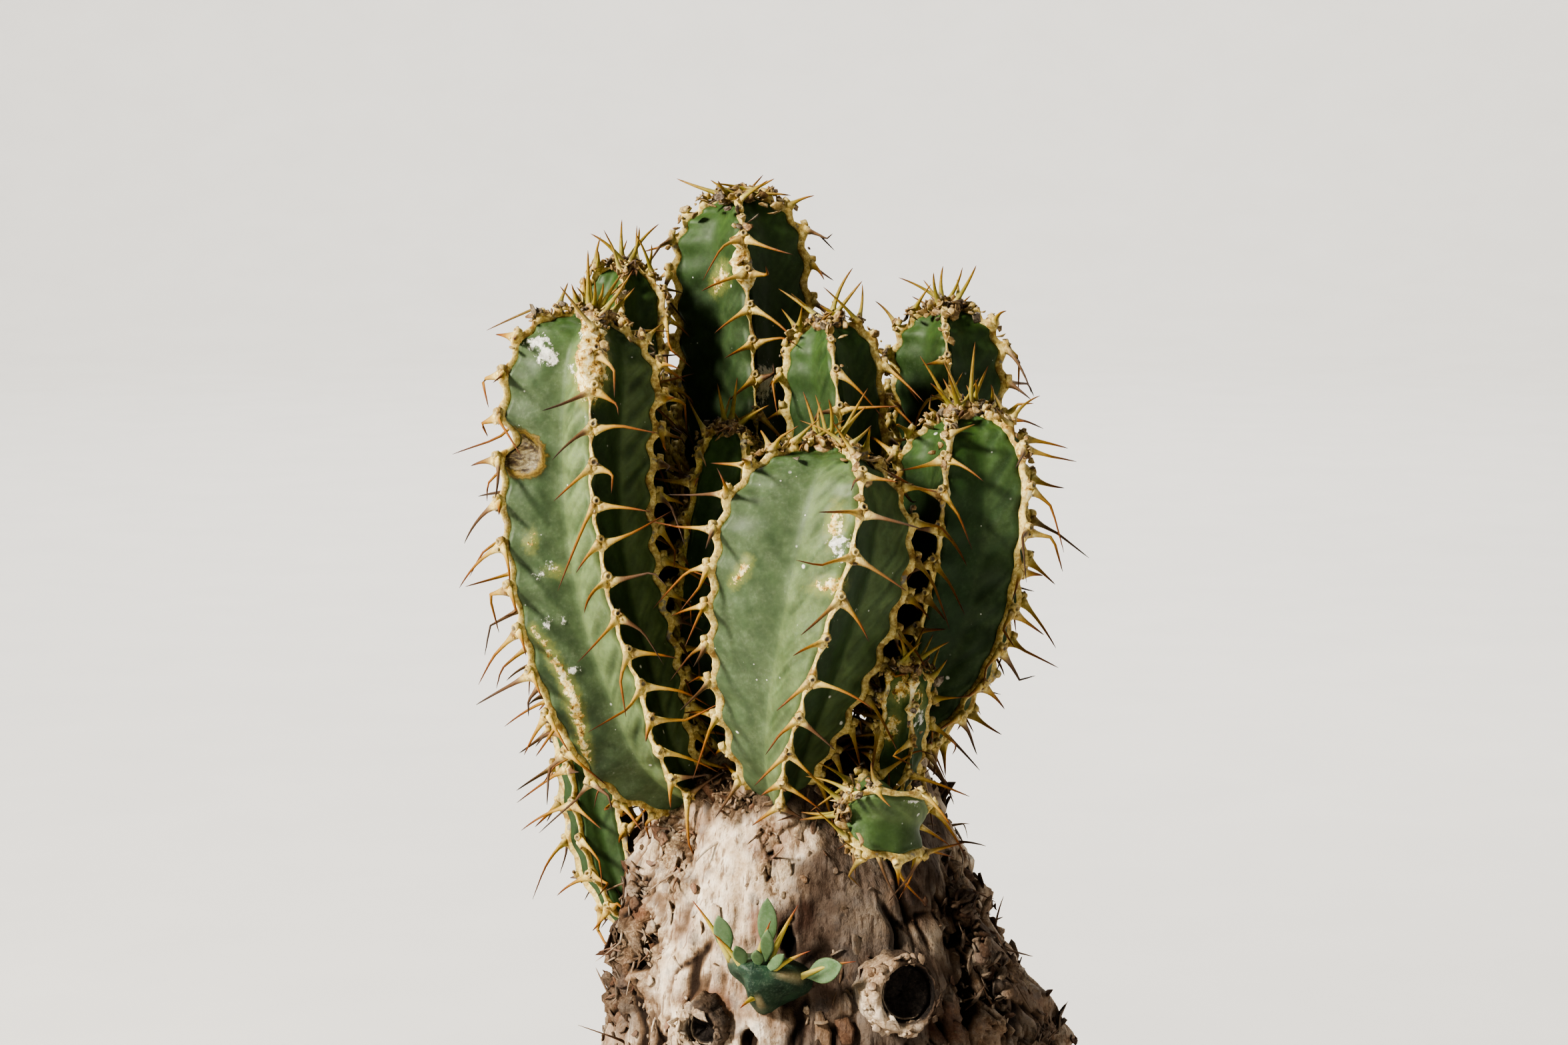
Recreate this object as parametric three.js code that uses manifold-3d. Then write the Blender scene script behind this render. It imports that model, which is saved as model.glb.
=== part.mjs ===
// Potted Euphorbia mlanjeana: a corky caudex in a plain terracotta pot, crowned with ribbed arms.
// Each arm is green flesh with 4 or 5 ribs. A pale horny margin runs along every rib, swells at each
// spine shield and carries the spines; the margins of an arm meet in its crown, so they are one body.
// Millimetres, +Z up, the viewer stands at -Y, and the origin is the middle of the pot's foot.
import * as THREE from "three";
import { mergeVertices } from "three/addons/utils/BufferGeometryUtils.js";
import Module from "manifold-3d";

const wasm = await Module();
wasm.setup();

// Driving dimensions
const SEAT_GAP = 0.3; // between two pieces that touch
const POT = {
  // a plain clay pot with a stepped rim, a flat foot and drain holes round the middle of its floor
  height: 100,
  topRadius: 75,
  footRadius: 52,
  wall: 5,
  floor: 7,
  rimHeight: 20,
  rimStep: 3.5,
  sides: 36,
  drainRadius: 5,
  drainRing: 26,
  drains: 4,
};
const SOIL = { top: 91, edgeDip: 3, sides: 30 };
const TRUNK = {
  // [height, middle x, middle y, radius], from the root end to the crown
  outline: [
    [66, 0, 0, 22],
    [72, 0, 0, 31],
    [82, 1, 0, 38],
    [92, 2.5, 0, 42],
    [108, 3.2, 0, 44.5],
    [125, 3.1, 0.5, 42],
    [134, 2.4, 1, 38.5],
    [146, -1.2, 1.5, 35],
    [159, -3, 2, 31],
    [169, -3.7, 2, 26.5],
    [177, -4, 2, 22.5],
    [183, -4, 2, 15],
    [186, -4, 2, 6],
  ],
  buriedRings: 3,
  rings: 19,
  sides: 30,
  tubercle: 2.2,
  tubercleRows: 11,
  tubercleTurns: 0.35,
  tubercleSpacing: 9,
  lump: 1.5,
};
const CUT_BRANCH = {
  middle: [15, -36.3, 146.4],
  outward: [0.26, -0.96, 0.06],
  collar: 6.9,
  hollow: 4.7,
  stand: 2.6,
  depth: 3.2,
};
const KNOT = {
  ...CUT_BRANCH,
  middle: [-20.5, -32, 137.5],
  outward: [-0.5, -0.86, -0.05],
  collar: 5,
  hollow: 3,
};
const RIB = {
  marginHeight: 1.35,
  marginWidth: 1.9,
  marginDip: 0.4,
  shieldRise: 0.45,
  shieldWidth: 2.7,
  shieldLength: 1.4,
  crestWidth: 1.7,
  shieldSpacing: 15,
  domePower: 2.4,
  valley: { 4: 0.6, 5: 0.68 },
  crownRadius: 2.6,
  crownRise: 0.7,
};
const SPINE = {
  length: 9,
  outward: 0.6,
  spread: 0.85,
  droop: 0.25,
  raised: 0.4,
  drooping: 0.9,
  rootAside: 0.4,
  crownLength: 3.2,
  crownLean: 0.5,
  crownRoot: 0.7,
  guard: 1.3, // radius and start of the room that a spine needs
  guardStart: 0.9,
};

// The socket of an arm's neck in the bark: how deep it is cut and how much wider than the neck
const SOCKET_DEPTH = 22;
const SOCKET_SPARE = 0.5;

// Arms: a cubic curve base-low-high-tip, the radius over the margins, the ribs and their first angle
// from the viewer, the twist from tip to base, how far the arm takes to swell and how long its dome is.
// A stalk is a stretch at the base that hasn't begun to swell, and a sharply bent arm has shields at a
// spacing of its own. The twist can settle back over a share of the base, and ribs can be moved off
// their even places.
const ARMS = {
  left_front: {
    base: [-22.6, -7.6, 174],
    low: [-40.5, -20, 186],
    high: [-48.3, -19, 226],
    tip: [-39.1, -16, 261.3],
    radius: 15.2,
    neck: 5,
    ribs: 5,
    phase: 8,
    twist: 32,
    settles: 0.35,
    moved: [0, -2, -8, -16, 0],
    swell: 34,
    dome: 15,
    paired: true,
  },
  centre_front: {
    base: [-6.5, -17, 175],
    low: [-8.5, -31, 190],
    high: [0.2, -29.8, 218.5],
    tip: [1.8, -25, 239.4],
    radius: 19.2,
    neck: 5,
    ribs: 4,
    phase: 26,
    twist: -27,
    swell: 56,
    dome: 21,
    paired: true,
  },
  right_front: {
    base: [11, -6, 179],
    low: [22, -5, 191],
    high: [30.3, -6, 219.5],
    tip: [25.5, -6, 243.4],
    radius: 13.7,
    neck: 4.5,
    ribs: 5,
    phase: -19,
    twist: -16,
    swell: 34,
    dome: 14,
    paired: true,
  },
  tall: {
    base: [-8, 9, 182],
    low: [-14.4, 19.9, 213.4],
    high: [-11.9, 21.1, 248.8],
    tip: [-14.8, 20, 280.4],
    radius: 13.1,
    neck: 4.5,
    ribs: 4,
    phase: 4,
    twist: 14,
    swell: 34,
    dome: 14,
    paired: true,
  },
  right_rear: {
    base: [11, 6, 179],
    low: [27, 25, 197],
    high: [25.6, 24, 232],
    tip: [23.7, 22, 259.7],
    radius: 11,
    neck: 4.5,
    ribs: 4,
    phase: -3,
    twist: 10,
    swell: 30,
    dome: 12,
    paired: true,
  },
  middle: {
    base: [0, -1, 184],
    low: [4.8, 1.6, 208.6],
    high: [5, 0.5, 233.7],
    tip: [1.7, 2, 258.8],
    radius: 9.6,
    neck: 4,
    ribs: 4,
    phase: 2,
    twist: 12,
    swell: 40,
    dome: 11,
  },
  left_rear: {
    base: [-20, 4, 176],
    low: [-29.5, 7.3, 206],
    high: [-38, 10.4, 236.8],
    tip: [-34.4, 9.6, 268.2],
    radius: 8.6,
    neck: 4,
    ribs: 5,
    phase: -2,
    twist: 15,
    swell: 40,
    dome: 9,
  },
  small_centre: {
    base: [-13.4, -5.6, 181],
    low: [-27.1, -6.6, 194],
    high: [-18.6, -7.4, 220.5],
    tip: [-15.5, -7, 240.5],
    radius: 7,
    neck: 3.6,
    ribs: 4,
    phase: 42,
    twist: 10,
    swell: 26,
    dome: 8,
  },
  left_low: {
    base: [-32, 4, 146],
    low: [-43, 8.6, 161],
    high: [-41.1, 9, 186.2],
    tip: [-45, 12, 206],
    radius: 7.4,
    neck: 3.6,
    ribs: 5,
    phase: 35,
    twist: 8,
    swell: 20,
    dome: 9,
  },
  right_offset: {
    base: [12, -9, 176],
    low: [14.8, -21, 178],
    high: [14.6, -27.5, 189],
    tip: [16, -27, 201.5],
    radius: 5.1,
    neck: 3.2,
    ribs: 4,
    phase: 15,
    twist: 10,
    swell: 14,
    dome: 8,
  },
  front_offset: {
    base: [13, -19, 166.5],
    low: [17, -28, 171],
    high: [16.5, -37.5, 176.5],
    tip: [3.8, -37.5, 177.6],
    radius: 9.2,
    neck: 3.6,
    ribs: 4,
    phase: 42,
    twist: 0,
    stalk: 11,
    swell: 10,
    dome: 7,
    spacing: 11,
    lying: true,
  },
  back_left: {
    base: [-16, 15, 172],
    low: [-34, 34, 184],
    high: [-34.5, 35, 220.8],
    tip: [-34, 36, 246],
    radius: 11.2,
    neck: 4.5,
    ribs: 4,
    phase: 20,
    twist: -12,
    swell: 30,
    dome: 13,
  },
  back_middle: {
    base: [-3, 19, 173],
    low: [-6.4, 40, 184],
    high: [-9.3, 44.9, 220.9],
    tip: [-8, 44, 247],
    radius: 13,
    neck: 5,
    ribs: 4,
    phase: 14,
    twist: 16,
    swell: 34,
    dome: 14,
  },
  back_right: {
    base: [11, 14, 172],
    low: [22, 35, 181],
    high: [22, 49, 213],
    tip: [18, 48.5, 240],
    radius: 10.6,
    neck: 4.5,
    ribs: 4,
    phase: 30,
    twist: 10,
    swell: 28,
    dome: 12,
  },
  back_offset: {
    base: [5, 26, 155],
    low: [6, 34, 155.5],
    high: [7, 39, 158],
    tip: [9, 47, 165],
    radius: 7,
    neck: 3.4,
    ribs: 4,
    phase: 45,
    twist: 0,
    swell: 12,
    dome: 8,
    lying: true,
  },
};
// The young shoot on the caudex: lobes [angle, reach] round its axis, then leaves and spines, each from
// a root [right, up, forward] of the apex to a tip, and a leaf's width.
const SHOOT = {
  root: [-9.8, -28, 145.5],
  apex: [-11.6, -40.5, 150.0],
  core: 3,
  sharpness: 5,
  sides: 16,
  lobes: [
    [152, 6],
    [-3, 9.8],
    [-75, 6.8],
    [72, 4.6],
  ],
  leafThickness: 0.9,
  leaves: [
    [[-4.2, 2, -4], [-6.2, 9.4, 0], 3.2],
    [[2.2, 2.4, -3], [2.4, 12.6, 1], 3.5],
    [[2.2, 1, -2.5], [3, 7, 3], 2.4],
    [[-1, 0.4, -2], [-2.4, 4, 3], 2.4],
    [[1.6, -0.4, -2], [6, 3, 2.6], 2],
    [[1, 0.4, -2], [1.2, 3.4, 3], 2.2],
    [[7.6, -0.4, -5], [15.5, 1.8, -1.5], 4.4],
  ],
  spines: [
    [[-4.2, 2, -4], [-10.7, 11.8, 0.5]],
    [[-1.4, 0.2, -2], [-6.4, 6, 2.6]],
    [[0.4, 1.2, -2], [3.3, 8.6, 2]],
    [[2.6, 1.8, -3], [7.8, 11.6, 1]],
    [[2, -0.8, -2.4], [10.6, 3.7, 3]],
    [[7.6, -0.4, -5], [17.8, 2.6, -2.4]],
    [[0.6, -4, -4], [-1.4, -6.4, 1]],
  ],
  spineRoot: 0.75,
};

// Solids and meshes
function toSolid(geometry) {
  const bare = geometry.index ? geometry.toNonIndexed() : geometry.clone();
  bare.deleteAttribute("normal");
  bare.deleteAttribute("uv");
  const merged = mergeVertices(bare, 1e-4);
  return new wasm.Manifold(
    new wasm.Mesh({
      numProp: 3,
      vertProperties: merged.attributes.position.array,
      triVerts: new Uint32Array(merged.index.array),
    }),
  );
}

function toGeometry(solid) {
  const mesh = solid.getMesh();
  const position = new Float32Array(mesh.numVert * 3);
  for (let i = 0; i < mesh.numVert; i++) {
    position.set(mesh.vertProperties.subarray(i * mesh.numProp, i * mesh.numProp + 3), i * 3);
  }
  return new THREE.BufferGeometry()
    .setAttribute("position", new THREE.BufferAttribute(position, 3))
    .setIndex(new THREE.BufferAttribute(mesh.triVerts, 1));
}

// A closed skin through rings of equal length, each listed anticlockwise seen from the last ring.
// A spike [ring, side, tip] draws the face after that ring and corner out to a point.
function loft(rings, spikes = []) {
  const sides = rings[0].length;
  const points = rings.flat();
  const faces = [];
  for (let i = 0; i + 1 < rings.length; i++) {
    for (let k = 0; k < sides; k++) {
      const next = (k + 1) % sides;
      const [a, b] = [i * sides + k, i * sides + next];
      const spike = spikes.find(([ring, side]) => ring === i && side === k);
      if (spike) {
        const tip = points.push(spike[2]) - 1;
        faces.push(a, b, tip, b, b + sides, tip, b + sides, a + sides, tip, a + sides, a, tip);
      } else {
        faces.push(a, b, b + sides, a, b + sides, a + sides);
      }
    }
  }
  const middle = (ring) => ring.reduce((sum, p) => sum.add(p), new THREE.Vector3()).divideScalar(sides);
  const last = (rings.length - 1) * sides;
  points.push(middle(rings[0]), middle(rings.at(-1)));
  for (let k = 0; k < sides; k++) {
    const next = (k + 1) % sides;
    faces.push(next, k, points.length - 2, last + k, last + next, points.length - 1);
  }
  return new THREE.BufferGeometry().setFromPoints(points).setIndex(faces);
}

const vector = (values) => new THREE.Vector3(...values);
const smoothStep = (x) => THREE.MathUtils.smoothstep(x, 0, 1);

// Arms
function axisOf(arm) {
  return new THREE.CubicBezierCurve3(...[arm.base, arm.low, arm.high, arm.tip].map(vector));
}

// Point, tangent, direction to the viewer and direction to the viewer's right, at a distance along.
function frameAt(arm, axis, along) {
  const length = axis.getLength();
  const share = THREE.MathUtils.clamp(along / length, 0, 1);
  const tangent = axis.getTangentAt(share);
  const point = axis.getPointAt(share).addScaledVector(tangent, along - share * length);
  const front = arm.lying ? new THREE.Vector3(0, 0, 1) : new THREE.Vector3(0, -1, 0);
  front.addScaledVector(tangent, -front.dot(tangent)).normalize();
  return { point, tangent, front, right: tangent.clone().cross(front) };
}

// The rib's edge as [distance along the axis, distance from it], evenly stepped, with its normal.
function crestOf(arm, axis, spacing) {
  const length = axis.getLength();
  const dome = arm.dome;
  const edge = [];
  const sideSteps = 60;
  const domeSteps = 40;
  const girth = (along) => {
    const share = THREE.MathUtils.clamp((along - (arm.stalk ?? 0)) / arm.swell, 0, 1);
    return arm.neck + (arm.radius - arm.neck) * Math.sin((share * Math.PI) / 2);
  };
  for (let i = 0; i < sideSteps; i++) {
    const along = ((length - dome) * i) / sideSteps;
    edge.push([along, girth(along)]);
  }
  for (let i = 0; i <= domeSteps; i++) {
    const turn = (0.95 * (Math.PI / 2) * i) / domeSteps;
    const along = length - dome + dome * Math.sin(turn) ** (2 / RIB.domePower);
    edge.push([along, girth(along) * Math.cos(turn) ** (2 / RIB.domePower)]);
  }
  const curve = new THREE.SplineCurve(edge.map(([x, y]) => new THREE.Vector2(x, y)));
  curve.arcLengthDivisions = 400;
  const reach = curve.getLength();
  const shields = Math.max(2, Math.round(reach / spacing));
  return Array.from({ length: 4 * shields + 1 }, (_, i) => {
    const [step, kind] = [Math.floor(i / 4), i % 4];
    const offset = [0, -0.5, 0, 0.5][kind] * RIB.shieldLength;
    const share = (step + [0, 0.5, 0.5, 0.5][kind]) / shields + offset / reach;
    const at = curve.getPointAt(share);
    const slope = curve.getTangentAt(share);
    return { along: at.x, radius: at.y, normal: [-slope.y, slope.x], kind };
  });
}

// Of the stops along a crest, DIP lies between two shields and SHIELD in the middle of one.
const DIP = 0;
const SHIELD = 2;

// Away from the axis at an angle from the viewer.
const outwards = ({ front, right }, angle) =>
  front.clone().multiplyScalar(Math.cos(angle)).addScaledVector(right, Math.sin(angle));

function angleOf(arm, along, rib) {
  const share = Math.min(1, along / axisOf(arm).getLength());
  const twist = arm.twist * (1 - share) * (arm.settles ? smoothStep(share / arm.settles) : 1);
  const moved = arm.moved?.[rib % arm.ribs] ?? 0;
  return THREE.MathUtils.degToRad(arm.phase + twist + (360 * rib) / arm.ribs + moved);
}

// A point on rib `angle`, raised from the crest by `rise` along its normal and moved sideways.
function ribPoint(frame, stop, angle, rise, sideways, depth = 1) {
  const out = outwards(frame, angle);
  const side = frame.tangent.clone().cross(out);
  const radius = Math.max(0.4, (stop.radius + stop.normal[1] * rise) * depth);
  return frame.point
    .clone()
    .addScaledVector(frame.tangent, stop.normal[0] * rise)
    .addScaledVector(out, radius)
    .addScaledVector(side, sideways);
}

function fleshOf(arm, axis, crest) {
  const inset = -(RIB.marginHeight + SEAT_GAP);
  const valley = RIB.valley[arm.ribs];
  const stops = crest.filter((stop) => stop.kind === DIP || stop.kind === SHIELD);
  return loft(
    stops.map((stop) => {
      const frame = frameAt(arm, axis, stop.along);
      const half = Math.min(RIB.crestWidth, stop.radius * 0.5) / 2;
      const ring = [];
      for (let rib = 0; rib < arm.ribs; rib++) {
        const angle = angleOf(arm, stop.along, rib);
        ring.push(ribPoint(frame, stop, angle, inset, -half));
        ring.push(ribPoint(frame, stop, angle, inset, half));
        const middle = (angle + angleOf(arm, stop.along, rib + 1)) / 2;
        ring.push(ribPoint(frame, stop, middle, inset, 0, valley));
      }
      return ring;
    }),
  );
}

// The margin on one rib: a three-sided strip, drawn out to a spine on either face of its shields.
function marginOf(arm, axis, crest, rib, spines = []) {
  const stops = crest.filter((stop, i) => i > 0 && stop.kind !== SHIELD);
  const rings = stops.map((stop) => {
    const frame = frameAt(arm, axis, stop.along);
    const angle = angleOf(arm, stop.along, rib);
    const dip = stop.kind === DIP;
    const half = Math.min(dip ? RIB.marginWidth : RIB.shieldWidth, stop.radius * 0.7) / 2;
    return [
      ribPoint(frame, stop, angle, dip ? -RIB.marginDip : RIB.shieldRise, 0),
      ribPoint(frame, stop, angle, -RIB.marginHeight, half),
      ribPoint(frame, stop, angle, -RIB.marginHeight, -half),
    ];
  });
  return loft(
    rings,
    spines.map(({ shield, side, tip }) => [3 * shield, side > 0 ? 0 : 2, tip]),
  );
}

function crownOf(arm, axis) {
  const length = axis.getLength();
  const frame = frameAt(arm, axis, length);
  const sides = arm.ribs * 2;
  const ring = (rise, radius) =>
    Array.from({ length: sides }, (_, k) => {
      const angle = angleOf(arm, length, k / 2);
      return frame.point
        .clone()
        .addScaledVector(frame.tangent, rise)
        .addScaledVector(frame.front, radius * Math.cos(angle))
        .addScaledVector(frame.right, radius * Math.sin(angle));
    });
  return loft([ring(0.05 - RIB.marginHeight, RIB.crownRadius), ring(RIB.crownRise, RIB.crownRadius * 0.6)]);
}

// Two young spines stand nearly upright in a broad arm's crown.
function crownSpines(arm, axis) {
  if (!arm.paired) return [];
  const { point, tangent, front, right } = frameAt(arm, axis, axis.getLength());
  return [-1, 1].map((way) => {
    const direction = tangent
      .clone()
      .addScaledVector(right, way * SPINE.crownLean)
      .addScaledVector(front, -way * SPINE.crownLean * 0.5)
      .normalize();
    return toSolid(needle(point.clone(), direction, SPINE.crownLength, SPINE.crownRoot));
  });
}

// One three-sided spine from a rooted point along a direction.
function needle(root, direction, length, thickness) {
  const side = new THREE.Vector3(0, 0, 1).cross(direction);
  if (side.lengthSq() < 0.01) side.set(1, 0, 0);
  side.normalize();
  const other = direction.clone().cross(side);
  const base = [0, 1, 2].map((k) => {
    const turn = (2 * Math.PI * k) / 3;
    return root
      .clone()
      .addScaledVector(side, thickness * Math.cos(turn))
      .addScaledVector(other, thickness * Math.sin(turn));
  });
  const point = root.clone().addScaledVector(direction, length);
  const geometry = new THREE.BufferGeometry().setFromPoints([...base, point]);
  return geometry.setIndex([0, 2, 1, 0, 1, 3, 1, 2, 3, 2, 0, 3]);
}

const boxOf = (solid) => {
  const { min, max } = solid.boundingBox();
  return new THREE.Box3(vector(min), vector(max));
};

// What stands in the way of a spine: every solid placed so far, with its box and its owner's name.
const placed = [];
const place = (owner, solid) => placed.push({ owner, solid, box: boxOf(solid) });

function isClear(solid, owner) {
  const box = boxOf(solid);
  const others = placed.filter((other) => other.owner !== owner && other.box.intersectsBox(box));
  return others.every((other) => solid.intersect(other.solid).isEmpty());
}

// The tip of the spine at a shield, leaning to one side of its rib; a spine that would cross something
// leans otherwise or is shorter, and is left out where nothing fits.
function spineTip(owner, arm, axis, stop, rib, side) {
  const frame = frameAt(arm, axis, stop.along);
  const angle = angleOf(arm, stop.along, rib);
  const out = outwards(frame, angle);
  const across = frame.tangent.clone().cross(out);
  const normal = out.multiplyScalar(stop.normal[1]);
  normal.addScaledVector(frame.tangent, stop.normal[0]).normalize();
  const root = ribPoint(frame, stop, angle, 0, side * SPINE.rootAside);
  for (const length of [SPINE.length, 0.75 * SPINE.length, 0.55 * SPINE.length]) {
    for (const lean of [1, 0.6, 1.5, 0.25]) {
      for (const lift of [-SPINE.droop, SPINE.raised, -SPINE.drooping]) {
        const direction = normal
          .clone()
          .multiplyScalar(SPINE.outward)
          .addScaledVector(across, side * SPINE.spread * lean)
          .addScaledVector(frame.tangent, lift)
          .normalize();
        const start = root.clone().addScaledVector(direction, SPINE.guardStart);
        const guard = toSolid(needle(start, direction, length - SPINE.guardStart + 0.5, SPINE.guard));
        if (!isClear(guard, owner)) continue;
        place(owner, guard);
        return root.addScaledVector(direction, length);
      }
    }
  }
  return null;
}

// Pot and soil
function lathe(profile, sides) {
  const outline = profile.map(([x, y]) => new THREE.Vector2(x, y));
  return toSolid(new THREE.LatheGeometry(outline, sides).rotateX(Math.PI / 2));
}

function potWallAt(height) {
  const share = (height - POT.floor) / (POT.height - POT.floor);
  return THREE.MathUtils.lerp(POT.footRadius, POT.topRadius - POT.rimStep, share) - POT.wall;
}

function buildPot() {
  const { height, topRadius, footRadius, floor, rimHeight, rimStep } = POT;
  const rimFoot = height - rimHeight;
  const underRim = THREE.MathUtils.lerp(footRadius, topRadius - rimStep, rimFoot / height);
  const outline = [
    [0, 0],
    [footRadius, 0],
    [underRim, rimFoot],
    [topRadius - 1, rimFoot + 2],
    [topRadius, height - 2],
    [topRadius - 2, height],
    [potWallAt(height) + 1, height],
    [potWallAt(floor + 6), floor + 6],
    [potWallAt(floor) - 5, floor],
    [0, floor],
  ];
  let pot = lathe(outline, POT.sides);
  for (let k = 0; k < POT.drains; k++) {
    const turn = (2 * Math.PI * (k + 0.5)) / POT.drains;
    const hole = new THREE.CylinderGeometry(POT.drainRadius, POT.drainRadius, 3 * floor, 10);
    hole.rotateX(Math.PI / 2).translate(POT.drainRing * Math.cos(turn), POT.drainRing * Math.sin(turn), 0);
    pot = pot.subtract(toSolid(hole));
  }
  return pot;
}

function buildSoil(trunkHole) {
  const { top, edgeDip, sides } = SOIL;
  const foot = POT.floor + SEAT_GAP;
  const outline = [
    [0, foot],
    [potWallAt(POT.floor) - 5.5, foot],
    [potWallAt(POT.floor + 6) - SEAT_GAP - 0.4, foot + 6],
    [potWallAt(top - edgeDip) - SEAT_GAP - 0.2, top - edgeDip],
    [potWallAt(top) - 8, top],
    [0, top + 1],
  ];
  return lathe(outline, sides).subtract(trunkHole);
}

// Caudex
function trunkAt(height) {
  const rows = TRUNK.outline;
  const next = Math.max(1, rows.findIndex((row, i) => i > 0 && row[0] >= height));
  const [a, b] = [rows[next - 1], rows[next]];
  const share = smoothStep((height - a[0]) / (b[0] - a[0])) * 0.35 + 0.65 * ((height - a[0]) / (b[0] - a[0]));
  return a.map((value, i) => THREE.MathUtils.lerp(value, b[i], share));
}

function barkRelief(angle, height) {
  const { tubercle, tubercleRows, tubercleTurns, tubercleSpacing, lump } = TRUNK;
  const row = Math.cos(tubercleRows * (angle + (tubercleTurns * 2 * Math.PI * height) / 100));
  const bead = 0.6 + 0.4 * Math.cos((2 * Math.PI * height) / tubercleSpacing + 2 * angle);
  const lumps = Math.sin(3 * angle + height / 9) + 0.6 * Math.sin(5 * angle - height / 6 + 1);
  return tubercle * Math.max(0, row) ** 2 * bead + lump * 0.5 * lumps;
}

function trunkHeights() {
  const [low, high] = [TRUNK.outline[0][0], TRUNK.outline.at(-1)[0]];
  const buried = TRUNK.buriedRings;
  const share = (i, count) => i / count;
  return [
    ...Array.from({ length: buried }, (_, i) => THREE.MathUtils.lerp(low, SOIL.top, share(i, buried))),
    ...Array.from({ length: TRUNK.rings }, (_, i) =>
      THREE.MathUtils.lerp(SOIL.top, high, Math.sin((share(i, TRUNK.rings - 1) * Math.PI) / 2) ** 1.15),
    ),
  ];
}

function trunkLoft(heights, spare = 0) {
  return loft(
    heights.map((height) => {
      const [, x, y, radius] = trunkAt(height);
      const bared = THREE.MathUtils.clamp((height - SOIL.top) / 8, 0, 1);
      const relief = bared * Math.min(1, radius / 20);
      return Array.from({ length: TRUNK.sides }, (_, k) => {
        const angle = (2 * Math.PI * k) / TRUNK.sides;
        const reach = radius + spare + relief * barkRelief(angle, height);
        return new THREE.Vector3(x + reach * Math.cos(angle), y + reach * Math.sin(angle), height);
      });
    }),
  );
}

// A ring of callus round the dried end of a lost branch.
function cutBranch({ middle, outward, collar, hollow, stand, depth }) {
  const profile = [
    [0, -8],
    [collar + 0.6, -8],
    [collar + 0.6, 0],
    [collar - 0.3, stand],
    [hollow + 0.5, stand],
    [hollow, stand - depth],
    [0, stand - depth],
  ];
  const outline = profile.map(([x, y]) => new THREE.Vector2(x, y));
  const geometry = new THREE.LatheGeometry(outline, 14);
  const turn = new THREE.Quaternion().setFromUnitVectors(
    new THREE.Vector3(0, 1, 0),
    vector(outward).normalize(),
  );
  geometry.applyQuaternion(turn).translate(...middle);
  return toSolid(geometry);
}

// Room in the bark for an arm's round neck.
function socketOf(arm, axis, crest) {
  const reach = crest.filter((stop) => stop.kind === DIP || stop.kind === SHIELD);
  const past = reach.findIndex((stop) => stop.along > SOCKET_DEPTH);
  const sides = 8;
  return toSolid(
    loft(
      [{ ...reach[0], along: -SEAT_GAP }, ...reach.slice(1, past + 1)].map((stop) => {
        const frame = frameAt(arm, axis, stop.along);
        const radius = (stop.radius + RIB.shieldRise + SOCKET_SPARE) / Math.cos(Math.PI / sides);
        return Array.from({ length: sides }, (_, k) =>
          ribPoint(frame, { ...stop, radius }, (2 * Math.PI * k) / sides, 0, 0),
        );
      }),
    ),
  );
}

// Young shoot
const shootAxis = vector(SHOOT.apex).sub(vector(SHOOT.root)).normalize();
const shootUp = new THREE.Vector3(0, 0, 1).addScaledVector(shootAxis, -shootAxis.z).normalize();
const shootRight = shootAxis.clone().cross(shootUp).negate();
const shootPoint = ([right, up, forward]) =>
  vector(SHOOT.apex)
    .addScaledVector(shootRight, right)
    .addScaledVector(shootUp, up)
    .addScaledVector(shootAxis, forward);

function shootBody(spare = 0) {
  const depth = vector(SHOOT.apex).distanceTo(vector(SHOOT.root));
  const { core, lobes, sharpness, sides } = SHOOT;
  return toSolid(
    loft(
      [0, 0.5, 0.75, 0.9, 0.99].map((share) =>
        Array.from({ length: sides }, (_, k) => {
          const angle = (2 * Math.PI * k) / sides;
          const reach = lobes.reduce((sum, [turn, far]) => {
            const toward = Math.max(0, Math.cos(angle - THREE.MathUtils.degToRad(turn)));
            return sum + (far - core) * toward ** sharpness;
          }, core);
          const radius = reach * Math.sqrt(1 - share ** 3) + spare;
          return shootPoint([radius * Math.cos(angle), radius * Math.sin(angle), (share - 1) * depth]);
        }),
      ),
    ),
  );
}

function leafSolid([from, to, width]) {
  const [root, tip] = [shootPoint(from), shootPoint(to)];
  const direction = tip.clone().sub(root);
  const side = direction.clone().cross(shootAxis).normalize();
  const normal = side.clone().cross(direction).normalize();
  const stations = [
    [0, 0.25],
    [0.4, 0.6],
    [0.7, 1],
    [1, 0.1],
  ];
  return toSolid(
    loft(
      stations.map(([along, breadth]) => {
        const middle = root.clone().addScaledVector(direction, along);
        const half = (breadth * width) / 2;
        const thick = (SHOOT.leafThickness / 2) * (0.4 + 0.6 * breadth);
        return [
          middle.clone().addScaledVector(side, half),
          middle.clone().addScaledVector(normal, thick),
          middle.clone().addScaledVector(side, -half),
          middle.clone().addScaledVector(normal, -thick),
        ].reverse();
      }),
    ),
  );
}

function buildShoot() {
  const spines = SHOOT.spines.map(([from, to]) => {
    const [root, tip] = [shootPoint(from), shootPoint(to)];
    const direction = tip.clone().sub(root).normalize();
    return toSolid(needle(root, direction, root.distanceTo(tip), SHOOT.spineRoot));
  });
  return wasm.Manifold.union([shootBody(), ...SHOOT.leaves.map(leafSolid), ...spines]);
}

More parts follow.
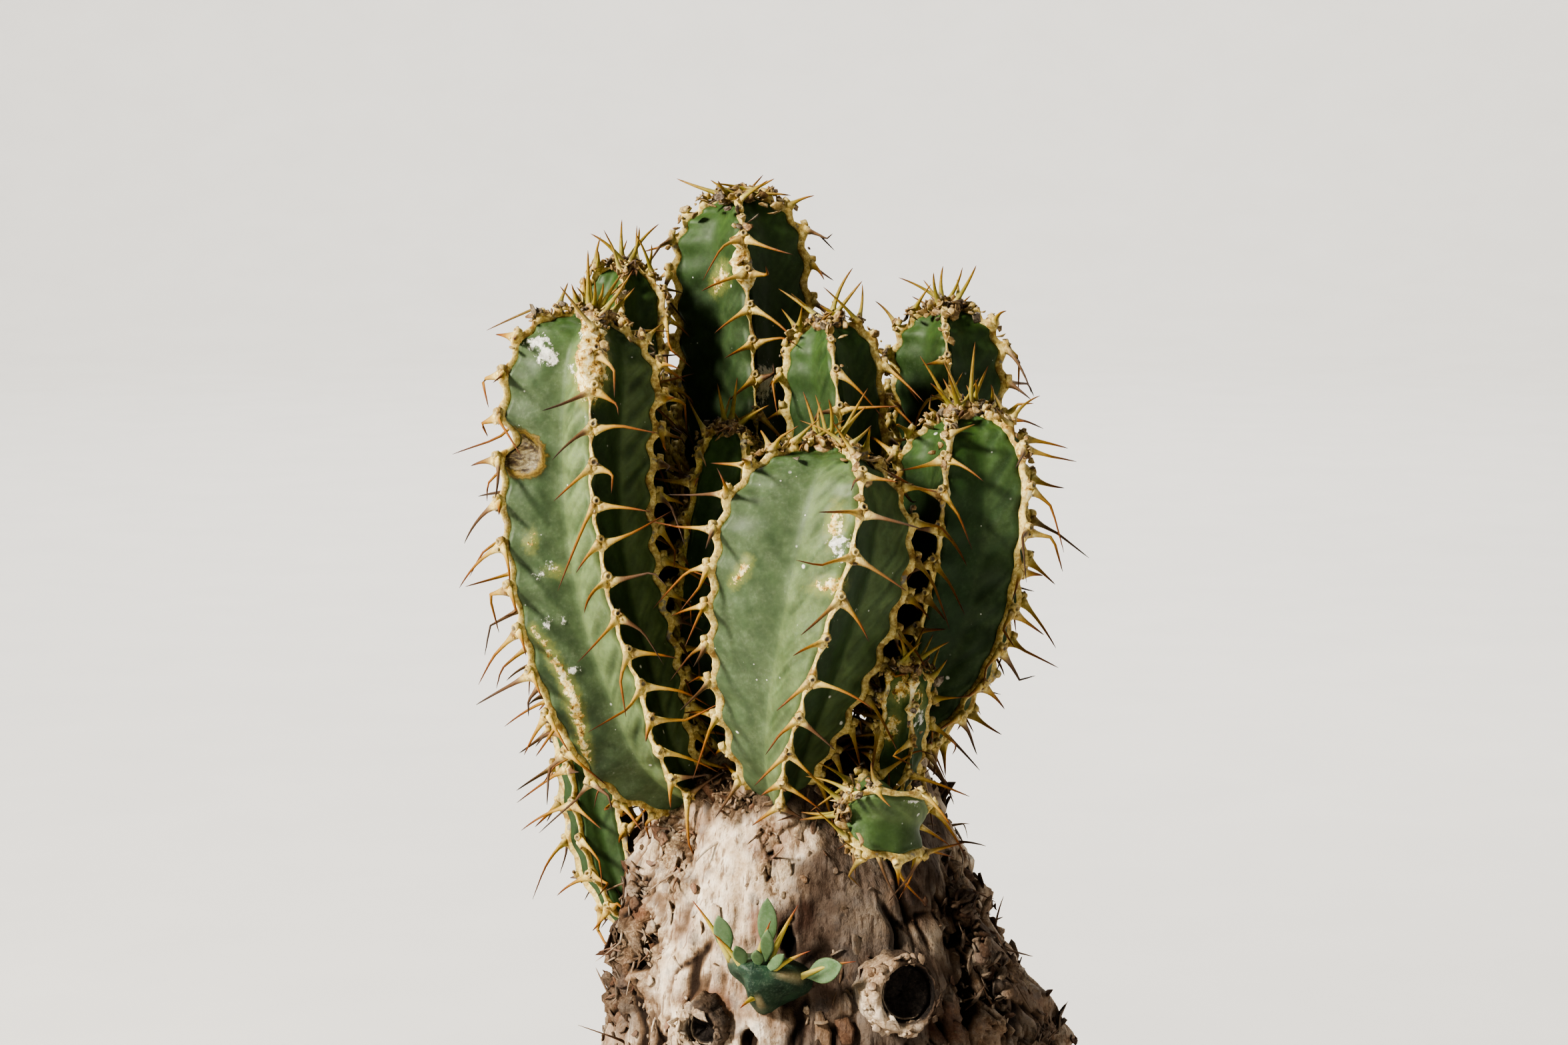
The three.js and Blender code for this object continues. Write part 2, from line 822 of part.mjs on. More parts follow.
// Materials
const materials = {
  terracotta: new THREE.MeshStandardMaterial({ color: 0xa9583a, roughness: 0.85, metalness: 0 }),
  soil: new THREE.MeshStandardMaterial({ color: 0x3a2c22, roughness: 1, metalness: 0 }),
  bark: new THREE.MeshStandardMaterial({ color: 0x8d7563, roughness: 0.95, metalness: 0 }),
  flesh: new THREE.MeshStandardMaterial({ color: 0x3f6a48, roughness: 0.5, metalness: 0 }),
  horn: new THREE.MeshStandardMaterial({ color: 0xcdb888, roughness: 0.6, metalness: 0 }),
  shoot: new THREE.MeshStandardMaterial({ color: 0x5f8f5c, roughness: 0.5, metalness: 0 }),
};

// Assembly
const plant = new THREE.Group();

function add(name, solid, material) {
  const mesh = new THREE.Mesh(toGeometry(solid), material);
  mesh.name = name;
  plant.add(mesh);
  place(name, solid);
}

const arms = Object.entries(ARMS).map(([name, arm]) => {
  const axis = axisOf(arm);
  const crest = crestOf(arm, axis, arm.spacing ?? RIB.shieldSpacing);
  return { name, arm, axis, crest };
});

let trunk = toSolid(trunkLoft(trunkHeights()));
for (const scar of [CUT_BRANCH, KNOT]) trunk = trunk.add(cutBranch(scar));
for (const { arm, axis, crest } of arms) trunk = trunk.subtract(socketOf(arm, axis, crest));
trunk = trunk.subtract(shootBody(SEAT_GAP));
trunk = trunk.decompose().sort((a, b) => b.volume() - a.volume())[0];

const heights = trunkHeights();
const rootHole = trunkLoft([heights[0] - SEAT_GAP, ...heights.slice(1, TRUNK.buriedRings + 3)], SEAT_GAP);

add("pot", buildPot(), materials.terracotta);
add("soil", buildSoil(toSolid(rootHole)), materials.soil);
add("caudex", trunk, materials.bark);
add("young_shoot", buildShoot(), materials.shoot);

for (const { name, arm, axis, crest } of arms) {
  add(`arm_${name}`, toSolid(fleshOf(arm, axis, crest)), materials.flesh);
}

for (const { name, arm, axis, crest } of arms) {
  for (let rib = 0; rib < arm.ribs; rib++) {
    place(`${name} rib ${rib}`, toSolid(marginOf(arm, axis, crest, rib)));
  }
}

for (const { name, arm, axis, crest } of arms) {
  const shields = crest.filter((stop) => stop.kind === SHIELD);
  const strips = Array.from({ length: arm.ribs }, (_, rib) => {
    const spines = [];
    shields.forEach((stop, shield) => {
      const sides = arm.paired ? [-1, 1] : [(rib + shield) % 2 ? 1 : -1];
      for (const side of sides) {
        const tip = spineTip(`${name} rib ${rib}`, arm, axis, stop, rib, side);
        if (tip) spines.push({ shield, side, tip });
      }
    });
    return toSolid(marginOf(arm, axis, crest, rib, spines));
  });
  const crown = [toSolid(crownOf(arm, axis)), ...crownSpines(arm, axis)];
  add(`margins_${name}`, wasm.Manifold.union([...strips, ...crown]), materials.horn);
}

export default plant;
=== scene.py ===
"""Looks of a potted Euphorbia mlanjeana: green ribbed arms with horny, spiny margins on a corky caudex.

Shapes are worked out in millimetres in the frame of the solids and scaled to metres when a piece is made.
"""

import math

import bpy
import numpy as np
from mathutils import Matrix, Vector
from mathutils.bvhtree import BVHTree


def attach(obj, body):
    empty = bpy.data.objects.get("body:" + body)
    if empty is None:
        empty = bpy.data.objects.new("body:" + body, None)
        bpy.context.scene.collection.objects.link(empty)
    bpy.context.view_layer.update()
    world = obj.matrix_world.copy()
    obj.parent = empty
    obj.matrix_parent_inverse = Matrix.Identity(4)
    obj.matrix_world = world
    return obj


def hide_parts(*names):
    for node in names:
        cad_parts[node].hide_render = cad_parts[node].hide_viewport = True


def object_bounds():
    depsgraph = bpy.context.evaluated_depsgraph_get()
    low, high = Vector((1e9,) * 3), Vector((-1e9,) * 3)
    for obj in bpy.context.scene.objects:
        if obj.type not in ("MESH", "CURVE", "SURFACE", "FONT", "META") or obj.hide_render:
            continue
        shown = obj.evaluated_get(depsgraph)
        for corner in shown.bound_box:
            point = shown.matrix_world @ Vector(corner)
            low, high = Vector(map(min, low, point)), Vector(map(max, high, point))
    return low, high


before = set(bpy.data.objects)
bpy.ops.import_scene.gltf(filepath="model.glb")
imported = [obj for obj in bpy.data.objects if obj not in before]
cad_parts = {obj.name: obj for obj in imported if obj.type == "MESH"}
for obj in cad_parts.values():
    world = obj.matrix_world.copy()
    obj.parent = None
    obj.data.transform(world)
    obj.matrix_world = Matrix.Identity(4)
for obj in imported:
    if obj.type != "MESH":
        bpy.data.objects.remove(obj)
cad_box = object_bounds()

MM = 0.001
CEILING = cad_box[1][2] / MM - 0.1

# Pot and soil, as the solids have them
POT = dict(height=100, top=75, foot=52, wall=5, floor=7, rim=20, step=3.5, drain=5, drain_ring=26, drains=4)
SOIL = dict(top=91, edge_dip=3, foot=7.3)

# Trunk: height, middle x, middle y, radius
TRUNK = np.array([
    [66, 0, 0, 22],
    [72, 0, 0, 31],
    [82, 1, 0, 38],
    [92, 2.5, 0, 42],
    [108, 3.2, 0, 44.5],
    [125, 3.1, 0.5, 42],
    [134, 2.4, 1, 38.5],
    [146, -1.2, 1.5, 35],
    [159, -3, 2, 31],
    [169, -3.7, 2, 26.5],
    [177, -4, 2, 22.5],
    [183, -4, 2, 15],
    [186, -4, 2, 6],
])
# Lost branches: the dried end's half width and half height, then the callus at its thinnest and thickest
CUT_BRANCH = dict(
    middle=[15.4, -36.2, 144.8], outward=[0.26, -0.96, 0.06], end=(5.1, 5.4), callus=(0.5, 2.4), stand=2.3
)
KNOT = dict(
    middle=[-20.2, -32, 137.3], outward=[-0.5, -0.86, -0.05], end=(3.0, 3.4), callus=(1.2, 2.0), stand=2.0
)
HEAVY_SIDE = 196 # degrees from the right: the side of a lost branch where the callus is thickest

# Margins along the ribs
VALLEY = {4: 0.6, 5: 0.68}
DOME_POWER = 2.4
INSET = 1.65
SHIELD_SPACING = 6.6
CROWN_SPACING = 3.2
SPINE_LENGTH = 9.4
# A spine looks for room from this far out, keeps this gap, and is left out where there is less room
CLEAR_ROOT, SPINE_GAP, SHORTEST_SPINE = 1.7, 0.4, 3.4
SPINE_SHARES = np.array([0, 0.07, 0.15, 0.27, 0.42, 0.58, 0.72, 0.84, 0.93, 1.0])
SPINE_BODY, SPINE_FLARE = 0.37, (0.78, 0.3) # half thickness, and what its foot adds along and across the rib
# Directions that a spine tries: share of its lean aside, lift along the rib and share outwards
HEADINGS = [(1, 0, 0.5), (0.7, 0, 0.7), (1, 0.5, 0.5), (1, -0.5, 0.5), (0.4, 0, 0.9), (0.4, 0.7, 0.8),
            (0.4, -0.7, 0.8)]
# A bud scar from its rim to its pit: reach, lift and how dark
BUD_SCAR = [(1.35, -0.8, 0), (1.2, 0.1, 0), (0.95, 0.34, 0.1), (0.62, 0.26, 0.7), (0.3, 0.02, 1.0)]
SLANT = 1.35 # how far a fold climbs along the arm for each mm away from the valley

# Arms: base, low, high and tip of the axis curve, then radius, neck, ribs, phase, twist, swell and dome
ARMS = {
    "left_front": ([-22.6, -7.6, 174], [-40.5, -20, 186], [-48.3, -19, 226], [-39.1, -16, 261.3],
                   15.2, 5, 5, 8, 32, 34, 15),
    "centre_front": ([-6.5, -17, 175], [-8.5, -31, 190], [0.2, -29.8, 218.5], [1.8, -25, 239.4],
                     19.2, 5, 4, 26, -27, 56, 21),
    "right_front": ([11, -6, 179], [22, -5, 191], [30.3, -6, 219.5], [25.5, -6, 243.4],
                    13.7, 4.5, 5, -19, -16, 34, 14),
    "tall": ([-8, 9, 182], [-14.4, 19.9, 213.4], [-11.9, 21.1, 248.8], [-14.8, 20, 280.4],
             13.1, 4.5, 4, 4, 14, 34, 14),
    "right_rear": ([11, 6, 179], [27, 25, 197], [25.6, 24, 232], [23.7, 22, 259.7],
                   11, 4.5, 4, -3, 10, 30, 12),
    "middle": ([0, -1, 184], [4.8, 1.6, 208.6], [5, 0.5, 233.7], [1.7, 2, 258.8],
               9.6, 4, 4, 2, 12, 40, 11),
    "left_rear": ([-20, 4, 176], [-29.5, 7.3, 206], [-38, 10.4, 236.8], [-34.4, 9.6, 268.2],
                  8.6, 4, 5, -2, 15, 40, 9),
    "small_centre": ([-13.4, -5.6, 181], [-27.1, -6.6, 194], [-18.6, -7.4, 220.5], [-15.5, -7, 240.5],
                     7, 3.6, 4, 42, 10, 26, 8),
    "left_low": ([-32, 4, 146], [-43, 8.6, 161], [-41.1, 9, 186.2], [-45, 12, 206],
                 7.4, 3.6, 5, 35, 8, 20, 9),
    "right_offset": ([12, -9, 176], [14.8, -21, 178], [14.6, -27.5, 189], [16, -27, 201.5],
                     5.1, 3.2, 4, 15, 10, 14, 8),
    "front_offset": ([13, -19, 166.5], [17, -28, 171], [16.5, -37.5, 176.5], [3.8, -37.5, 177.6],
                     9.2, 3.6, 4, 42, 0, 10, 7),
    "back_left": ([-16, 15, 172], [-34, 34, 184], [-34.5, 35, 220.8], [-34, 36, 246],
                  11.2, 4.5, 4, 20, -12, 30, 13),
    "back_middle": ([-3, 19, 173], [-6.4, 40, 184], [-9.3, 44.9, 220.9], [-8, 44, 247],
                    13, 5, 4, 14, 16, 34, 14),
    "back_right": ([11, 14, 172], [22, 35, 181], [22, 49, 213], [18, 48.5, 240],
                   10.6, 4.5, 4, 30, 10, 28, 12),
    "back_offset": ([5, 26, 155], [6, 34, 155.5], [7, 39, 158], [9, 47, 165],
                    7, 3.4, 4, 45, 0, 12, 8),
}
LYING = ("front_offset", "back_offset")
# How finely horn is made: mm between rings, sides of a margin, sides of a spine, most crumbs at a shield
NEAR, FARTHER, BEHIND = (0.62, 12, 6, 4), (0.92, 10, 5, 3), (1.3, 8, 5, 2)
BROAD_HORN, BROAD_SKIN = 13.2, 14 # the radius above which an arm is made more finely
# How finely skin is made: lines up a flank and mm between rings
SKIN_BROAD, SKIN_USUAL, SKIN_BEHIND = (14, 0.68), (10, 0.9), (8, 1.1)
STALK = {"front_offset": 11} # the stretch at an arm's base that hasn't begun to swell
SETTLES = {"left_front": 0.35} # the share of an arm, from its base, over which its twist comes in
MOVED = {"left_front": (0, -2, -8, -16, 0)} # ribs moved off their even places, in degrees

# Young shoot: lobes as angle and reach, leaves as root, tip and width, spines as root and tip
SHOOT = dict(root=[-9.8, -28, 145.5], apex=[-11.6, -40.5, 150.0], core=3, sharpness=5)
SHOOT_LOBES = [(152, 6), (-3, 9.8), (-75, 6.8), (72, 4.6)]
SHOOT_LEAVES = [
    ([-4.2, 2, -4], [-6.2, 9.4, 0], 3.2),
    ([2.2, 2.4, -3], [2.4, 12.6, 1], 3.5),
    ([2.2, 1, -2.5], [3, 7, 3], 2.4),
    ([-1, 0.4, -2], [-2.4, 4, 3], 2.4),
    ([1.6, -0.4, -2], [6, 3, 2.6], 2),
    ([1, 0.4, -2], [1.2, 3.4, 3], 2.2),
    ([7.6, -0.4, -5], [15.5, 1.8, -1.5], 4.4),
]
SHOOT_SPINES = [
    ([-4.2, 2, -4], [-10.7, 11.8, 0.5]),
    ([-1.4, 0.2, -2], [-6.4, 6, 2.6]),
    ([0.4, 1.2, -2], [3.3, 8.6, 2]),
    ([2.6, 1.8, -3], [7.8, 11.6, 1]),
    ([2, -0.8, -2.4], [10.6, 3.7, 3]),
    ([7.6, -0.4, -5], [17.8, 2.6, -2.4]),
    ([0.6, -4, -4], [-1.4, -6.4, 1]),
]

# Scars on the flesh, seen from the front: arm, x, z, half width, half height, lean to the right, kind
SCARS = [
    ("left_front", -48.2, 256.8, 1.6, 1.3, 0.5, "chalk"),
    ("left_front", -46.8, 254.8, 1.7, 1.7, -0.1, "chalk"),
    ("left_front", -45.8, 254.0, 1.3, 1.0, 0.0, "chalk"),
    ("left_front", -51.6, 237.6, 5.0, 4.4, -0.2, "ring"),
    ("left_front", -38.9, 253.0, 2.4, 6.0, 0.1, "cork"),
    ("left_front", -39.6, 258.8, 1.0, 2.2, 0.2, "chalk"),
    ("left_front", -42.0, 252.6, 0.8, 0.6, 0.0, "chalk"),
    ("left_front", -46.4, 218.0, 0.5, 1.3, 0.1, "chalk"),
    ("left_front", -48.2, 216.8, 0.9, 0.5, 0.0, "chalk"),
    ("left_front", -45.2, 217.4, 0.8, 0.5, 0.0, "cork"),
    ("left_front", -49.4, 222.6, 0.6, 0.9, 0.0, "cork"),
    ("left_front", -42.3, 200.3, 1.1, 0.9, 0.0, "chalk"),
    ("left_front", -46.8, 208.6, 0.6, 0.9, 0.0, "chalk"),
    ("left_front", -44.0, 208.9, 0.6, 0.5, 0.0, "chalk"),
    ("centre_front", 2.9, 227.6, 1.0, 2.3, 0.1, "cork"),
    ("centre_front", 3.6, 224.8, 1.9, 1.1, 0.3, "chalk"),
    ("centre_front", 3.4, 222.4, 0.7, 0.9, 0.1, "chalk"),
    ("centre_front", 4.4, 221.0, 0.6, 1.3, 0.1, "chalk"),
    ("centre_front", 1.7, 217.4, 2.0, 1.1, 0.4, "cork"),
    ("right_offset", 12.6, 190.0, 1.1, 2.1, 0.3, "cork"),
    ("right_offset", 14.6, 197.4, 1.3, 2.5, 0.4, "cork"),
    ("right_offset", 16.9, 196.0, 0.9, 1.8, -0.2, "cork"),
    ("right_offset", 17.4, 191.0, 0.8, 1.5, 0.3, "chalk"),
    ("front_offset", 15.8, 180.5, 1.7, 1.5, -0.6, "chalk"),
    ("tall", -17.4, 265.0, 1.1, 2.0, 0.2, "cork"),
    ("tall", -9.7, 246.2, 1.9, 3.4, 0.1, "chalk"),
    ("small_centre", -25.0, 221.0, 1.6, 2.6, 0.5, "cork"),
]
# Long corky welts on the flesh: arm and points x, z with half the width there
WELTS = [
    ("left_front", [(-49.4, 207.4, 0.2), (-46.4, 203.4, 0.55), (-43.6, 198.2, 0.85), (-42.0, 193.0, 0.95),
                    (-41.0, 187.0, 0.6), (-40.2, 182.5, 0.3)]),
    ("centre_front", [(-14.6, 216.4, 0.3), (-13.4, 218.0, 0.6), (-12.0, 220.6, 0.25)]),
]
# Where the horn of a rib has spread over the flesh: arm, rib, from and to below the tip, extra width
CORKY = [
    ("left_front", 0, 2, 19, 1.3),
    ("tall", 0, 12, 22, 1.4),
    ("right_front", 0, 3, 34, 0.6),
    ("right_front", 4, 3, 28, 0.4),
    ("right_front", 1, 2, 24, 0.4),
    ("left_rear", 0, 8, 26, 0.7),
    ("right_offset", 0, 1, 12, 0.8),
    ("right_offset", 3, 1, 12, 0.8),
]

# A bite out of a rib: its place along the crest line, half its length and its depth
BITTEN = {("left_front", 4): (74.4, 2.2, 2.3)}

# How far the valleys of an arm lie off the middle between its ribs, in degrees to the right
SKEW = {"left_front": 11, "centre_front": 8, "small_centre": -4}
# The rounded share of a flank at its valley, how pale the flank left of a rib is (the flesh's own pale stripe
# together with painted light where that flank faces the key lamp; front_offset is raised as painted light)
# and how thick the bloom is
ROUNDED = {"left_front": 0.16, "centre_front": 0.15}
PALE_AND_PAINTED_LIGHT = {"left_front": 1.0, "centre_front": 0.75, "front_offset": 0.9}
BLOOM = {"left_front": 0.9, "centre_front": 1.0, "front_offset": 1.0, "back_middle": 0.6, "back_left": 0.5}

PAPER = (0.86, 0.845, 0.815)


# Numbers from places: noise that is the same on each run
def lattice(cell, seed):
    n = (cell[..., 0] * 73856093) ^ (cell[..., 1] * 19349663) ^ (cell[..., 2] * 83492791)
    n = n ^ ((seed + 1) * 2971215073)
    n = (n ^ (n >> 13)) * 1274126177
    n = (n ^ (n >> 16)) * 69069
    return ((n ^ (n >> 11)) & 0xFFFFFF) / float(0x1000000)


def noise(points, size, seed=0):
    """Smooth noise in -1..1 with lumps about `size` wide."""
    place = points / size
    base = np.floor(place).astype(np.int64)
    part = place - base
    part = part * part * (3 - 2 * part)
    total = np.zeros(points.shape[:-1])
    for corner in np.ndindex(2, 2, 2):
        weight = np.prod(np.where(np.array(corner) == 1, part, 1 - part), axis=-1)
        total += weight * lattice(base + np.array(corner), seed)
    return 2 * total - 1


def rough(points, size, octaves, seed=0):
    """Noise summed over ever finer sizes."""
    total = np.zeros(points.shape[:-1])
    for k in range(octaves):
        total += 0.5**k * noise(points, size / 2**k, seed + 17 * k)
    return total


def cells(points, size, seed=0):
    """Distance to the edge between scattered cells, and each cell's own random number."""
    place = points / size
    base = np.floor(place).astype(np.int64)
    near = np.full(points.shape[:-1], 9.0)
    second = near.copy()
    own = np.zeros(points.shape[:-1])
    for offset in np.ndindex(3, 3, 3):
        cell = base + np.array(offset) - 1
        middle = cell + np.stack([lattice(cell, seed + k) for k in range(3)], -1)
        distance = np.linalg.norm(place - middle, axis=-1)
        closer = distance < near
        second = np.where(closer, near, np.minimum(second, distance))
        own = np.where(closer, lattice(cell, seed + 7), own)
        near = np.where(closer, distance, near)
    return second - near, own


def unit(vectors):
    return vectors / np.maximum(np.linalg.norm(vectors, axis=-1, keepdims=True), 1e-9)


def circle(sides):
    return 2 * np.pi * np.arange(sides) / sides


def level_ring(turn, radius, height):
    return np.stack([radius * np.cos(turn), radius * np.sin(turn), np.full(len(turn), float(height))], -1)


def turned(first, second, angle):
    """The direction `angle` round from `first` towards `second`; of several angles, a row for each."""
    angle = np.asarray(angle, float)[..., None]
    return first * np.cos(angle) + second * np.sin(angle)


def smooth_step(value, low=0.0, high=1.0):
    share = np.clip((value - low) / (high - low), 0, 1)
    return share * share * (3 - 2 * share)


# Meshes
class Shape:
    """Points, faces and values of one piece, gathered part by part."""

    def __init__(self):
        self.points, self.faces, self.values, self.count = [], [], {}, 0

    def add(self, points, faces, **values):
        points = np.asarray(points, float).reshape(-1, 3)
        for key in self.values | values:
            column = self.values.setdefault(key, [np.zeros(self.count)])
            value = np.asarray(values.get(key, 0.0), float)
            column.append(np.broadcast_to(value.reshape(-1), (len(points),)))
        self.points.append(points)
        self.faces += [face + self.count for face in faces if len(face)]
        self.count += len(points)

    def add_loft(self, rings, **values):
        """A closed skin through rings; a value is one number or one for each point of the rings."""
        values = {key: with_caps(value) if np.ndim(value) else value for key, value in values.items()}
        self.add(*loft(rings), **values)

    def all_points(self):
        points = np.concatenate(self.points)
        points[:, 2] = np.minimum(points[:, 2], CEILING)
        return points

    def build(self, name, look, slot, *nodes):
        mesh = bpy.data.meshes.new(name)
        mesh.vertices.add(self.count)
        mesh.vertices.foreach_set("co", (self.all_points() * MM).astype(np.float32).ravel())
        corners = np.concatenate([face.ravel() for face in self.faces]).astype(np.int32)
        sizes = np.concatenate([np.full(len(face), face.shape[1]) for face in self.faces])
        starts = np.concatenate([[0], np.cumsum(sizes)[:-1]]).astype(np.int32)
        mesh.loops.add(len(corners))
        mesh.loops.foreach_set("vertex_index", corners)
        mesh.polygons.add(len(starts))
        mesh.polygons.foreach_set("loop_start", starts)
        mesh.polygons.foreach_set("use_smooth", np.ones(len(starts), bool))
        for key, column in self.values.items():
            layer = mesh.attributes.new(key, "FLOAT", "POINT")
            layer.data.foreach_set("value", np.concatenate(column).astype(np.float32))
        mesh.update(calc_edges=True)
        mesh.validate()
        mesh.materials.append(look)
        piece = bpy.data.objects.new(name, mesh)
        bpy.context.scene.collection.objects.link(piece)
        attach(piece, "root")
        if nodes:
            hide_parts(*nodes)
        return piece


def band(rows, columns, closed=True):
    """Quads between rows of points that run anticlockwise seen from the last row."""
    row = np.arange(rows - 1)[:, None] * columns
    column = np.arange(columns if closed else columns - 1)[None, :]
    after = (column + 1) % columns
    return np.stack(
        [row + column, row + after, row + after + columns, row + column + columns], -1
    ).reshape(-1, 4)


def loft(rings):
    """A closed skin through rings, with a middle point at either end."""
    rows, sides, _ = rings.shape
    points = np.concatenate([rings.reshape(-1, 3), rings[:1].mean(1), rings[-1:].mean(1)])
    k = np.arange(sides)
    after = (k + 1) % sides
    last = (rows - 1) * sides
    first_cap = np.stack([after, k, np.full(sides, rows * sides)], -1)
    last_cap = np.stack([last + k, last + after, np.full(sides, rows * sides + 1)], -1)
    return points, [band(rows, sides), np.concatenate([first_cap, last_cap])]


def with_caps(values):
    """The values of a loft's rings, followed by those of its two middle points."""
    return np.concatenate([values.ravel(), [values[0].mean(), values[-1].mean()]])


def spike(root, path, wide, thin, across, sides=6):
    """A closed spine through path, `wide` along `across` and `thin` the other way."""
    heading = unit(np.gradient(path, axis=0))
    first = unit(across - heading * (heading @ across)[:, None])
    other = np.cross(heading, first)
    turn = circle(sides)
    return loft(
        root
        + path[:, None, :]
        + (wide[:, None] * np.cos(turn))[..., None] * first[:, None, :]
        + (thin[:, None] * np.sin(turn))[..., None] * other[:, None, :]
    )


def flake(rng, middle, normal, size, thickness, curl, sides=7, stretch=1.0, up=None):
    """A small uneven chip lying square to `normal`, curling away at its ends."""
    third = unit(np.asarray(normal, float))
    guide = rng.normal(size=3) if up is None else np.asarray(up, float)
    first = unit(np.cross(guide, third))
    second = np.cross(third, first)
    turn = 2 * np.pi * (np.arange(sides) + rng.uniform(-0.3, 0.3, sides)) / sides
    reach = size * rng.uniform(0.55, 1.0, sides)
    outline = np.stack([reach * np.cos(turn), stretch * reach * np.sin(turn)], -1)
    rings = []
    for height, share in ((-0.5, 0.7), (0.05, 1.0), (0.5, 0.62)):
        flat = outline * share
        lift = thickness * height + curl * size * (flat[:, 1] / (size * stretch)) ** 2
        rings.append(flat[:, :1] * first + flat[:, 1:] * second + lift[:, None] * third)
    return loft(np.stack(rings) + middle)


# Node materials
class Value:
    """A number inside a material, written with ordinary arithmetic."""

    def __init__(self, look, socket):
        self.look, self.socket = look, socket

    def __add__(self, other):
        return self.look.calc("ADD", self, other)

    def __sub__(self, other):
        return self.look.calc("SUBTRACT", self, other)

    def __mul__(self, other):
        return self.look.calc("MULTIPLY", self, other)


class Look:
    """A procedural material built step by step; sizes are in millimetres."""

    def __init__(self, name):
        self.material = bpy.data.materials.new(name)
        self.material.use_nodes = True
        self.tree = self.material.node_tree
        self.tree.nodes.clear()
        self.shader = self.node("ShaderNodeBsdfPrincipled")
        output = self.node("ShaderNodeOutputMaterial")
        self.tree.links.new(self.shader.outputs[0], output.inputs[0])
        self.place = self.node("ShaderNodeTexCoord").outputs["Object"]

    def node(self, kind, inputs=None, **settings):
        node = self.tree.nodes.new(kind)
        for key, value in settings.items():
            setattr(node, key, value)
        for key, value in (inputs or {}).items():
            self.set(node.inputs[key], value)
        return node

    def set(self, socket, value):
        if isinstance(value, Value):
            value = value.socket
        if isinstance(value, bpy.types.NodeSocket):
            self.tree.links.new(value, socket)
        elif socket.type == "RGBA" and len(value) == 3:
            socket.default_value = (*value, 1)
        else:
            socket.default_value = value

    def surface(self, **values):
        for key, value in values.items():
            self.set(self.shader.inputs[key.replace("_", " ")], value)

    def value(self, name):
        return Value(self, self.node("ShaderNodeAttribute", attribute_name=name).outputs["Fac"])

    def values(self, names):
        return (self.value(name) for name in names.split())

    def stretched(self, x, y, z):
        return self.node("ShaderNodeMapping", {"Vector": self.place, "Scale": (x, y, z)}).outputs[0]

    def grain(self, size, detail=3.0, roughness=0.55, place=None):
        inputs = {
            "Vector": place or self.place, "Scale": 1 / (size * MM), "Detail": detail,
            "Roughness": roughness,
        }
        return Value(self, self.node("ShaderNodeTexNoise", inputs).outputs[0])

    def spots(self, size):
        inputs = {"Vector": self.place, "Scale": 1 / (size * MM)}
        return Value(self, self.node("ShaderNodeTexVoronoi", inputs).outputs["Distance"])

    def calc(self, operation, a, b):
        return Value(self, self.node("ShaderNodeMath", {0: a, 1: b}, operation=operation).outputs[0])

    def most(self, a, b):
        return self.calc("MAXIMUM", a, b)

    def step(self, value, low, high, out_low=0.0, out_high=1.0):
        inputs = {"Value": value, "From Min": low, "From Max": high, "To Min": out_low, "To Max": out_high}
        node = self.node("ShaderNodeMapRange", inputs, interpolation_type="SMOOTHSTEP")
        return Value(self, node.outputs[0])

    def ramp(self, value, *stops):
        node = self.node("ShaderNodeValToRGB", {"Fac": value})
        elements = node.color_ramp.elements
        while len(elements) < len(stops):
            elements.new(0.5)
        for element, (place, colour) in zip(elements, stops):
            element.position = place
            element.color = (*colour, 1)
        return node.outputs[0]

    def mix(self, share, a, b, blend="MIX"):
        node = self.node("ShaderNodeMix", data_type="RGBA", blend_type=blend)
        self.set(node.inputs[0], share)
        self.set(node.inputs[6], a)
        self.set(node.inputs[7], b)
        return node.outputs[2]

    def coats(self, colour, *coats):
        """A colour under coats of others, each given with its share."""
        for share, coat in coats:
            colour = self.mix(share, colour, coat)
        return colour

    def bump(self, height, strength, distance, below=None):
        inputs = {"Height": height, "Strength": strength, "Distance": distance * MM}
        if below:
            inputs["Normal"] = below
        return self.node("ShaderNodeBump", inputs).outputs[0]


def flesh_green(look, medium, fine):
    """Green that is younger at the tip, paler left of a rib, under a powdery coat that wears thin; the paler
    flank is partly painted light where it faces the key lamp, the coat thins as painted shading on flanks
    facing away from the lamp, and fold creases get painted shading.
    """
    up, fold, streak, pale, bloom = look.values("up fold streak pale bloom")
    green = look.ramp(look.grain(16), (0.3, (0.022, 0.050, 0.017)), (0.7, (0.040, 0.082, 0.026)))
    dusty = bloom * look.step(medium, 0.25, 0.7, 0.36, 0.70) * look.step(up, 3, 17, 0.12, 1)
    # Paler flank left of a rib: the flesh's own pale stripe together with painted light where the flank faces
    # the key lamp
    lightened = pale * look.step(up, 4, 22, 0.25, 1) * look.step(medium, 0.25, 0.75, 0.30, 0.52)
    green = look.coats(
        green,
        (look.step(up, 26, 3, 0, 0.75), (0.064, 0.128, 0.030)),
        (bloom * look.step(up, 60, 110, 0, 0.45), (0.105, 0.160, 0.085)),
        (dusty, (0.142, 0.190, 0.105)),
        (lightened, (0.265, 0.345, 0.150)),
        # Painted shade: darker green down the fold creases
        (fold * 0.55, (0.026, 0.056, 0.026)),
    )
    green = look.mix(1.0, green, look.step(streak, -0.9, 0.9, 0.80, 1.18), "MULTIPLY")
    powder = look.step(fine, 0.45, 0.7) * look.step(medium, 0.35, 0.7, 0.06, 0.34)
    green = look.mix(powder * look.step(bloom, 0, 0.8, 0.3, 1), green, (0.210, 0.255, 0.175))
    return look.mix(1.0, green, look.step(look.grain(2.2, 5, 0.65), 0.3, 0.75, 0.82, 1.14), "MULTIPLY")


